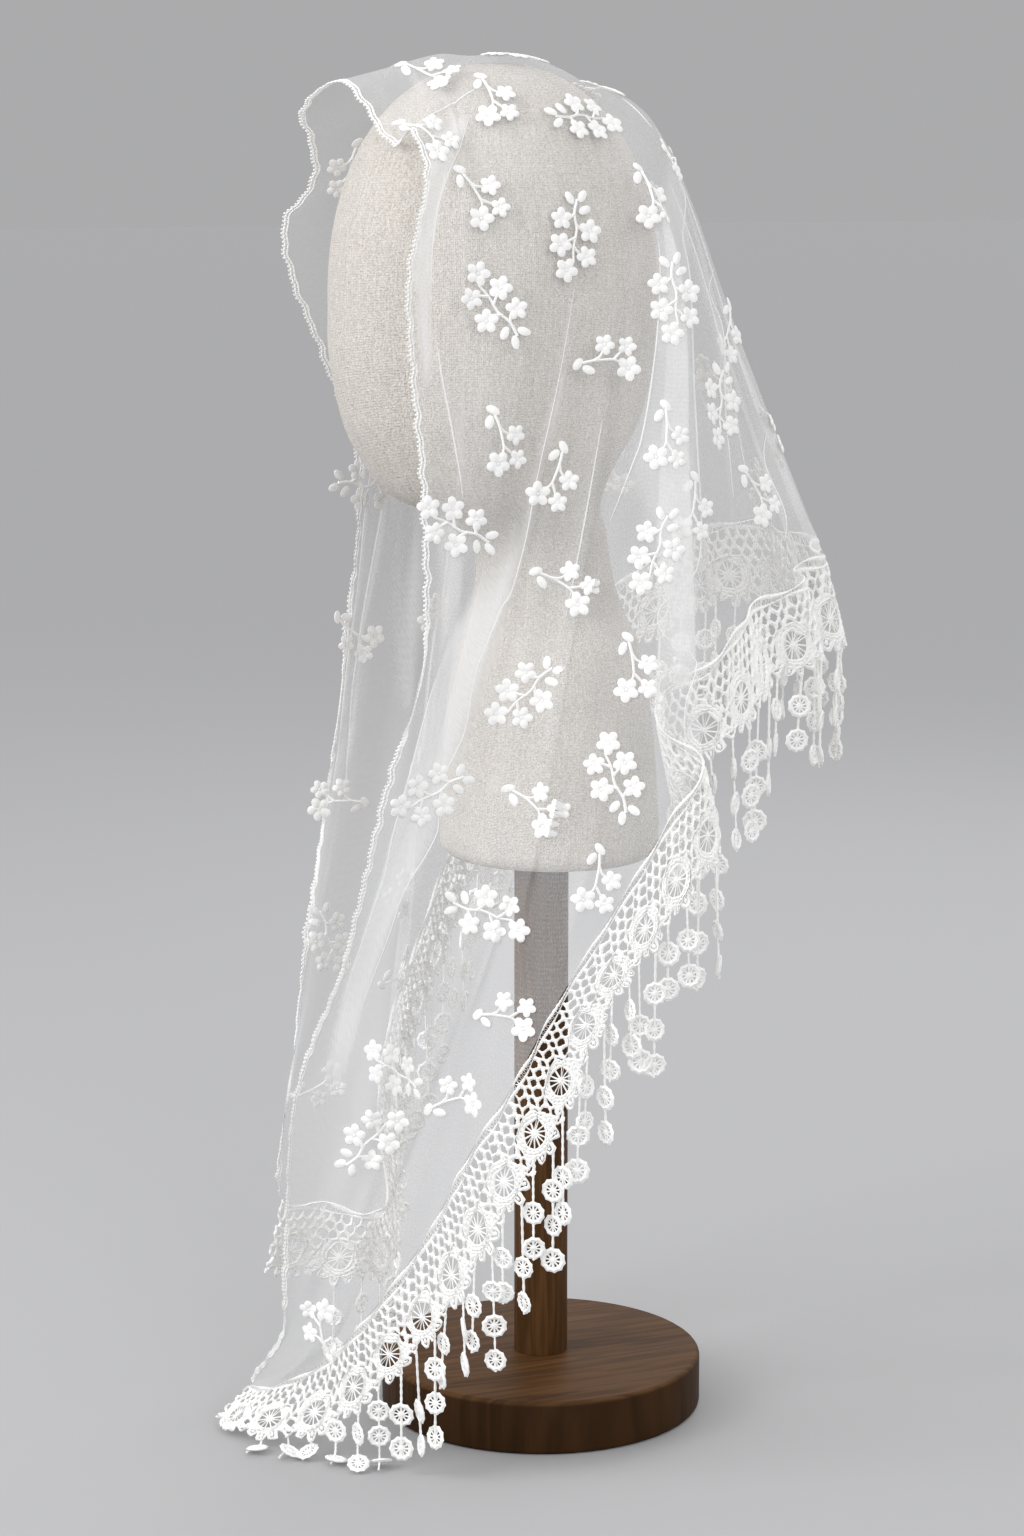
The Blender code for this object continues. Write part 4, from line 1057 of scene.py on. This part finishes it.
def sprig_places(veil, finder):
    """Flat places of all sprigs: those seen in the photograph, then an even spread elsewhere."""
    places, hung = [], []
    seen = [(False, *row) for row in SMALL_SEEN] + [(True, *row) for row in LARGE_SEEN]
    for large, across, down, turn in seen:
        found = finder.place(across, down)
        if found is not None and clear_of_edges(found, SEEN_EDGE_MARGIN):
            places.append((found, large, turn, True))
            hung.append(veil.on_net(found)[0][0])
    chance = np.random.RandomState(31)
    for row in range(14):
        for column in range(-17, 18):
            spot = np.array((column + 0.5 * (row % 2), 0.8 * row)) * SPRIG_SPACING + (0.0, FIRST_ROW)
            spot += chance.uniform(-SCATTER, SCATTER, 2)
            turn = chance.uniform(0.0, math.tau)
            if not clear_of_edges(spot, EDGE_MARGIN):
                continue
            point = veil.on_net(spot)[0][0]
            near_flat = np.array([np.linalg.norm(spot - place[0]) for place in places])
            near_hung = np.linalg.norm(np.array(hung) - point, axis=1)
            if np.any((near_hung < SPRIG_APART) & (near_flat < LAYERS_APART)):
                continue
            places.append((spot, (row + column) % 3 == 0, turn, False))
            hung.append(point)
    return places


def clear_of_edges(spot, margin):
    below_leg = (NET_HALF_SIDE - abs(spot[0])) * math.sin(TIP_ANGLE) - spot[1] * math.cos(TIP_ANGLE)
    return spot[1] > margin and below_leg > margin


SPRIG_GIVE = 0.0022
SPRIG_LIFT = 0.0006
MOST_RISE = 0.008
SPRIG_RING = 0.009
SPRIG_SLOPE = 0.35
BACKWARD = np.array((0.0, -0.02, 0.0))


def stitched_on(veil, tree, sprig, spot, turn, seen):
    """A sprig laid on the net round a flat place, at its real size whatever the folds.

    One that is seen in the photograph lies on the face of the net that shows there.
    """
    ring = spot + SPRIG_RING * pointing(np.arange(8) * math.tau / 8)
    points, normals = veil.on_net(np.concatenate(([spot], ring)))
    centre, normal = points.mean(axis=0), unit_rows(normals.mean(axis=0))
    if seen and (np.array(camera_axes()[0]) - centre) @ normal < 0:
        normal = -normal
    down = unit_rows(np.array((0.0, 0.0, -1.0)) + normal * normal[2] + BACKWARD)
    across = unit_rows(np.cross(normal, down))
    down = np.cross(across, normal)
    cos, sin = math.cos(turn), math.sin(turn)
    turned = sprig.points[:, :2] @ np.array(((cos, sin), (-sin, cos)))
    flat = centre + turned[:, :1] * across + turned[:, 1:] * down
    near = np.array([tree.find_nearest(Vector(place))[0] for place in flat])
    rise = np.clip((near - flat) @ normal, -MOST_RISE, MOST_RISE)
    rise = np.maximum(rise, -SPRIG_GIVE - SPRIG_SLOPE * np.linalg.norm(turned, axis=1))
    lift = rise + sprig.points[:, 2] + SPRIG_LIFT
    return Stitch(flat + lift[:, None] * normal, sprig.faces)


def add_sprigs(veil, finder, look):
    small, large = flat_sprig(SMALL_SPRIG), flat_sprig(LARGE_SPRIG)
    tree = veil.tree(stride=1)
    halves = {NEAR: [], FAR: []}  # in the order that the pieces are made
    for spot, is_large, turn, seen in sprig_places(veil, finder):
        side = NEAR if spot[0] >= 0 else FAR
        halves[side].append(stitched_on(veil, tree, large if is_large else small, spot, turn, seen))
    return [
        finish_piece(f"sprigs_{HAND[side]}", mesh_from(joined(half)), look)
        for side, half in halves.items()
    ]


# The net itself


def add_net(veil, bright, look):
    """One sheet from the crown to its three sides, with its flat places kept as its UV map."""
    work = bmesh.new()
    bmesh.ops.create_grid(work, x_segments=SHEET_COLUMNS, y_segments=SHEET_ROWS, size=0.5)
    flat = veil.flat_grid()
    cloth = veil.gathering()
    uv = work.loops.layers.uv.new("cut")
    fold = work.verts.layers.float.new("crease")
    gather = work.verts.layers.float.new("gather")
    spots = {}
    for vertex in work.verts:
        column = round((vertex.co.x + 0.5) * SHEET_COLUMNS)
        row = round((vertex.co.y + 0.5) * SHEET_ROWS)
        spots[vertex.index] = (column, row)
        vertex[fold] = bright[column, row]
        vertex[gather] = cloth[column, row]
    for face in work.faces:
        for loop in face.loops:
            loop[uv].uv = flat[spots[loop.vert.index]]
    for vertex in work.verts:
        vertex.co = veil.points[spots[vertex.index]]
    merged(work)
    return finish_piece("net", mesh_of(work), look, ("tulle_ground",), sharp=180.0)


def add_fold_edges(veil, finder, look):
    """The thin bright edges where the net turns over on itself."""
    threads = []
    lines = [np.array(line) for line in FLAT_FOLD_EDGES] + [finder.line(line) for line in FOLD_EDGES]
    for line in lines:
        if len(line) < 2:
            continue
        points, normals = veil.on_net(smooth_through(line, FOLD_EDGE_STEPS))
        swell = np.sin(np.pi * np.linspace(0.04, 0.96, len(points))) ** 0.7
        threads.append((points + normals * FOLD_EDGE_LIFT, FOLD_EDGE_THICK * swell))
    return finish_piece("fold_edges", mesh_from(thread(threads)), look)


# Stand


def add_head_form(look):
    """An oval form spun from its profile, then widened and deepened to its sections."""
    work = bmesh.new()
    rings = [(height, 1.0) for height in np.linspace(FORM_BOTTOM, DOME_HEIGHT, SIDE_RINGS)]
    for share in np.sin(np.linspace(0.0, math.pi / 2, DOME_RINGS))[1:]:
        height = DOME_HEIGHT + (HEAD_TOP - DOME_HEIGHT) * share
        rings.append((height, (1.0 - min(share, 1.0) ** DOME_POWER) ** (1.0 / DOME_POWER)))
    rings.insert(0, (FORM_BOTTOM, 0.0))
    profile = [work.verts.new((size, 0.0, height)) for height, size in rings]
    edges = [work.edges.new(pair) for pair in zip(profile, profile[1:])]
    bmesh.ops.spin(
        work, geom=profile + edges, cent=(0.0, 0.0, 0.0), axis=(0.0, 0.0, 1.0),
        angle=math.tau, steps=FORM_TURNS, use_merge=True,
    )
    merged(work)
    weave = work.loops.layers.uv.new("weave")
    for face in work.faces:
        middle = face.calc_center_median()
        seam = math.atan2(middle.y, middle.x)
        for loop in face.loops:
            x, y, z = loop.vert.co
            angle = math.atan2(y, x) if math.hypot(x, y) > 1e-6 else seam
            if abs(angle - seam) > math.pi:
                angle += math.copysign(math.tau, seam)
            loop[weave].uv = (angle * DOME_HALF_WIDTH, z)
    for vertex in work.verts:
        height = min(vertex.co.z, DOME_HEIGHT)
        centre, half_width, half_depth = along_table(FORM_TABLE, height)[0]
        vertex.co = (vertex.co.x * half_width, centre + vertex.co.y * half_depth, vertex.co.z)
    bmesh.ops.recalc_face_normals(work, faces=work.faces)
    return finish_piece("linen_head_form", mesh_of(work), look, ("head_form",))


def add_turned_wood(name, radius, bottom, top, rounding, look, node):
    work = bmesh.new()
    bmesh.ops.create_cone(
        work, segments=96, radius1=radius, radius2=radius, depth=top - bottom, cap_ends=True,
        matrix=Matrix.Translation((0.0, 0.0, (top + bottom) / 2)),
    )
    rims = [edge for edge in work.edges if abs(edge.verts[0].co.z - edge.verts[1].co.z) < 1e-6]
    bmesh.ops.bevel(
        work, geom=rims, offset=rounding, offset_type="OFFSET", affect="EDGES",
        segments=4, profile=0.5, material=-1,
    )
    return finish_piece(name, mesh_of(work), look, (node,), sharp=30.0)


# Materials


class Signal:
    """A shader output that takes part in Python sums."""

    def __init__(self, bench, socket):
        self.bench = bench
        self.socket = socket

    def __add__(self, other):
        return self.bench.maths("ADD", self, other)

    __radd__ = __add__

    def __mul__(self, other):
        return self.bench.maths("MULTIPLY", self, other)

    def __sub__(self, other):
        return self.bench.maths("SUBTRACT", self, other)

    def sine(self):
        return self.bench.maths("SINE", self)

    def held(self, low, high):
        return self.bench.maths("MINIMUM", self.bench.maths("MAXIMUM", self, low), high)

    def part(self, name):
        """One axis of a place."""
        split = self.bench.node("ShaderNodeSeparateXYZ", {}, {"Vector": self})
        return Signal(self.bench, split.outputs[name])


class Bench:
    """One material's nodes."""

    def __init__(self, name, colour, roughness):
        self.material = bpy.data.materials.new(name)
        self.material.use_nodes = True
        self.tree = self.material.node_tree
        self.shader = self.tree.nodes["Principled BSDF"]
        self.shader.inputs["Base Color"].default_value = (*colour, 1.0)
        self.shader.inputs["Roughness"].default_value = roughness
        self.material.diffuse_color = (*colour, 1.0)

    def node(self, kind, settings, inputs):
        made = self.tree.nodes.new(kind)
        for name, value in settings.items():
            setattr(made, name, value)
        for name, value in inputs.items():
            self.feed(made.inputs[name], value)
        return made

    def feed(self, socket, value):
        if isinstance(value, Signal):
            self.tree.links.new(value.socket, socket)
        else:
            socket.default_value = value

    def maths(self, operation, *values):
        made = self.node("ShaderNodeMath", {"operation": operation}, dict(enumerate(values)))
        return Signal(self, made.outputs[0])

    def painted(self, name):
        """A value kept on the mesh's points."""
        return Signal(self, self.node("ShaderNodeAttribute", {"attribute_name": name}, {}).outputs["Fac"])

    def place(self, output="Object"):
        return Signal(self, self.node("ShaderNodeTexCoord", {}, {}).outputs[output])

    def stretched(self, place, scale):
        made = self.node("ShaderNodeMapping", {}, {"Vector": place, "Scale": scale})
        return Signal(self, made.outputs["Vector"])

    def noise(self, place, scale, detail=2.0):
        made = self.node("ShaderNodeTexNoise", {}, {"Vector": place, "Scale": scale, "Detail": detail})
        return Signal(self, made.outputs["Fac"])

    def mixed(self, factor, first, second):
        inputs = {0: factor, 6: (*first, 1.0), 7: (*second, 1.0)}
        made = self.node("ShaderNodeMix", {"data_type": "RGBA"}, inputs)
        return Signal(self, made.outputs[2])

    def bump(self, height, distance, strength):
        made = self.node("ShaderNodeBump", {}, {"Height": height, "Distance": distance, "Strength": strength})
        self.feed(self.shader.inputs["Normal"], Signal(self, made.outputs["Normal"]))


NET_CELL = 0.0020
NET_COVER = 0.078  # share of the view that the plain net takes up
ROW_SLANT = 0.866


def tulle():
    bench = Bench("soft_white_tulle", (0.94, 0.94, 0.94), 0.85)
    cut = bench.place("UV")
    across, down = cut.part("X"), cut.part("Y")
    turn = math.tau / NET_CELL
    half_across, rise = across * (-turn / 2), down * (turn * ROW_SLANT)
    cells = (across * turn).sine() + (half_across + rise).sine() + (half_across - rise).sine()
    fold = bench.painted("crease")
    gather = bench.painted("gather")
    cloudy = bench.noise(cut, 22.0, 3.0)
    grain = bench.noise(cut, 650.0)
    cover = gather * (NET_COVER + cells * 0.010 + cloudy * 0.08 + grain * 0.16) + fold
    bench.feed(bench.shader.inputs["Alpha"], cover.held(0.05, 0.92))
    return bench.material


def folded_tulle():
    bench = Bench("folded_white_tulle", (0.95, 0.95, 0.95), 0.85)
    bench.shader.inputs["Alpha"].default_value = 0.62
    return bench.material


def cotton():
    bench = Bench("white_cotton_thread", (0.93, 0.93, 0.92), 0.82)
    place = bench.place()
    fibre = bench.noise(place, 1500.0)
    twist = bench.noise(place, 520.0)
    colour = bench.mixed(twist, (0.84, 0.84, 0.825), (0.97, 0.97, 0.96))
    bench.feed(bench.shader.inputs["Base Color"], colour)
    bench.bump(fibre * 0.4 + twist, 0.0006, 0.6)
    bench.shader.inputs["Sheen Weight"].default_value = 0.12
    return bench.material


THREAD_COUNT = 0.00085


def linen():
    bench = Bench("greige_linen", (0.60, 0.56, 0.51), 0.92)
    weave = bench.place("UV")
    place = bench.place()
    wobble = bench.noise(place, 260.0) * 3.2
    streak = bench.noise(bench.stretched(weave, (1.0, 0.10, 1.0)), 700.0) - 0.5
    crepe = bench.noise(place, 900.0) - 0.5
    warp = (weave.part("X") * (math.tau / THREAD_COUNT) + wobble).sine()
    weft = (weave.part("Y") * (math.tau / THREAD_COUNT) + wobble).sine()
    height = warp * 0.12 + weft * 0.12 + crepe * 1.6 + streak * 0.7
    shade = (height * 0.85 + 0.52).held(0.0, 1.0)
    colour = bench.mixed(shade, (0.44, 0.40, 0.355), (0.90, 0.855, 0.80))
    bench.feed(bench.shader.inputs["Base Color"], colour)
    bench.bump(height, 0.0008, 0.9)
    bench.shader.inputs["Sheen Weight"].default_value = 0.2
    return bench.material


SHADE_PAINTED_BELOW = 0.0275  # height under which the base's turned side gets painted shade, darker than its top, as in the photograph


def walnut(name, grain, painted_shade_side=False):
    bench = Bench(name, (0.10, 0.055, 0.03), 0.42)
    place = bench.place()
    long_grain = bench.noise(bench.stretched(place, grain), 1.0, 5.0)
    pores = bench.noise(bench.stretched(place, tuple(3.5 * size for size in grain)), 1.0, 3.0)
    lines = ((long_grain * 40.0 + pores * 2.0).sine() * 0.5 + 0.5).held(0.0, 1.0)
    tone = (lines * 0.28 + long_grain * 0.55 + pores * 0.45 - 0.16).held(0.0, 1.0)
    if painted_shade_side:
        # painted shade: below that height the walnut colour is darkened, standing for the shade on the base's
        # side
        above_painted_shade = ((place.part("Z") - SHADE_PAINTED_BELOW) * 700.0).held(0.0, 1.0)
        tone = tone * (above_painted_shade * 0.65 + 0.35)
    colour = bench.mixed(tone, (0.018, 0.008, 0.003), (0.138, 0.066, 0.025))
    bench.feed(bench.shader.inputs["Base Color"], colour)
    bench.feed(bench.shader.inputs["Roughness"], 0.36 + pores * 0.22)
    bench.bump(pores + lines * 0.3, 0.00025, 0.5)
    bench.shader.inputs["Specular IOR Level"].default_value = 0.05
    return bench.material


# Stage


def add_stage():
    work = bmesh.new()
    bmesh.ops.create_grid(work, x_segments=1, y_segments=1, size=30.0)
    mesh = mesh_of(work)
    mesh.materials.append(Bench("pale_floor", (0.385, 0.385, 0.39), 0.9).material)
    scene_object("floor", mesh)
    add_sky()


SKY_COLOUR = (0.97, 0.97, 0.98)
HORIZON_COLOUR = (0.408, 0.408, 0.415)
HORIZON_TOP = 0.06
SKY_BOTTOM = 0.20


def add_sky():
    """Even studio light from above, fading to the far floor's grey at the horizon."""
    world = bpy.data.worlds.new("studio")
    bpy.context.scene.world = world
    world.use_nodes = True
    nodes, links = world.node_tree.nodes, world.node_tree.links
    split = nodes.new("ShaderNodeSeparateXYZ")
    links.new(nodes.new("ShaderNodeTexCoord").outputs["Generated"], split.inputs[0])
    rise = nodes.new("ShaderNodeMapRange")
    links.new(split.outputs["Z"], rise.inputs["Value"])
    rise.inputs["From Min"].default_value = HORIZON_TOP
    rise.inputs["From Max"].default_value = SKY_BOTTOM
    sky = nodes.new("ShaderNodeMix")
    sky.data_type = "RGBA"
    links.new(rise.outputs["Result"], sky.inputs[0])
    sky.inputs[6].default_value = (*HORIZON_COLOUR, 1.0)
    sky.inputs[7].default_value = (*SKY_COLOUR, 1.0)
    links.new(sky.outputs[2], nodes["Background"].inputs["Color"])


Lamp = namedtuple("Lamp", "name toward right height size power")
LAMPS = (
    Lamp("key_softbox", 0.80, -1.70, 1.35, 1.1, 22.0),
    Lamp("fill_softbox", 1.90, 0.70, 1.15, 0.9, 9.5),
    Lamp("back_softbox", -1.50, 0.60, 1.60, 1.2, 9.0),
)
LAMP_AIM = Vector((0.0, 0.0, 0.42))


def add_lamps():
    _, right, _, _ = camera_axes()
    toward = Vector((math.sin(CAMERA_AZIMUTH), -math.cos(CAMERA_AZIMUTH), 0.0))
    for lamp in LAMPS:
        light = bpy.data.lights.new(lamp.name, "AREA")
        light.size = lamp.size
        light.energy = lamp.power
        holder = scene_object(lamp.name, light)
        holder.location = toward * lamp.toward + right * lamp.right + Vector((0.0, 0.0, lamp.height))
        holder.rotation_euler = (LAMP_AIM - holder.location).to_track_quat("-Z", "Y").to_euler()


def add_camera():
    place, right, up, forward = camera_axes()
    camera = bpy.data.cameras.new("photo_camera")
    camera.lens = FOCAL_PIXELS / PHOTO_HEIGHT * SENSOR_MM
    camera.sensor_width = SENSOR_MM
    camera.sensor_fit = "AUTO"
    holder = scene_object("photo_camera", camera)
    turn = Matrix((right, up, -forward)).transposed().to_4x4()
    holder.matrix_world = Matrix.Translation(place) @ turn
    bpy.context.scene.camera = holder


def add_stand():
    """Base, pole and head form; returns the form, which carries the veil."""
    # the base's walnut gets painted shade on its turned side
    across = walnut("walnut_across", (64.0, 5.0, 3.0), painted_shade_side=True)
    upright = walnut("walnut_upright", (85.0, 85.0, 5.0))
    add_turned_wood("walnut_base", BASE_RADIUS, 0.0, BASE_HEIGHT, BASE_ROUND, across, "base")
    add_turned_wood("walnut_pole", POLE_RADIUS, BASE_HEIGHT, FORM_BOTTOM, POLE_ROUND, upright, "pole")
    return add_head_form(linen())


def add_veil(form):
    """The net and all that is sewn to it, resting on the head form."""
    veil = Veil()
    finder = PhotoFinder(veil)
    bright = crease_the_net(veil, finder)
    net = add_net(veil, bright, tulle())
    trims = [add_fold_edges(veil, finder, folded_tulle())]
    thread_look = cotton()
    trims += [add_border(veil, side, thread_look) for side in (NEAR, FAR)]
    trims += [add_fringe(veil, side, thread_look) for side in (NEAR, FAR)]
    trims.append(add_braid(veil, thread_look))
    trims += add_sprigs(veil, finder, thread_look)


bpy.context.scene.view_settings.view_transform = "Standard"
add_camera()
add_stage()
add_lamps()
add_veil(add_stand())
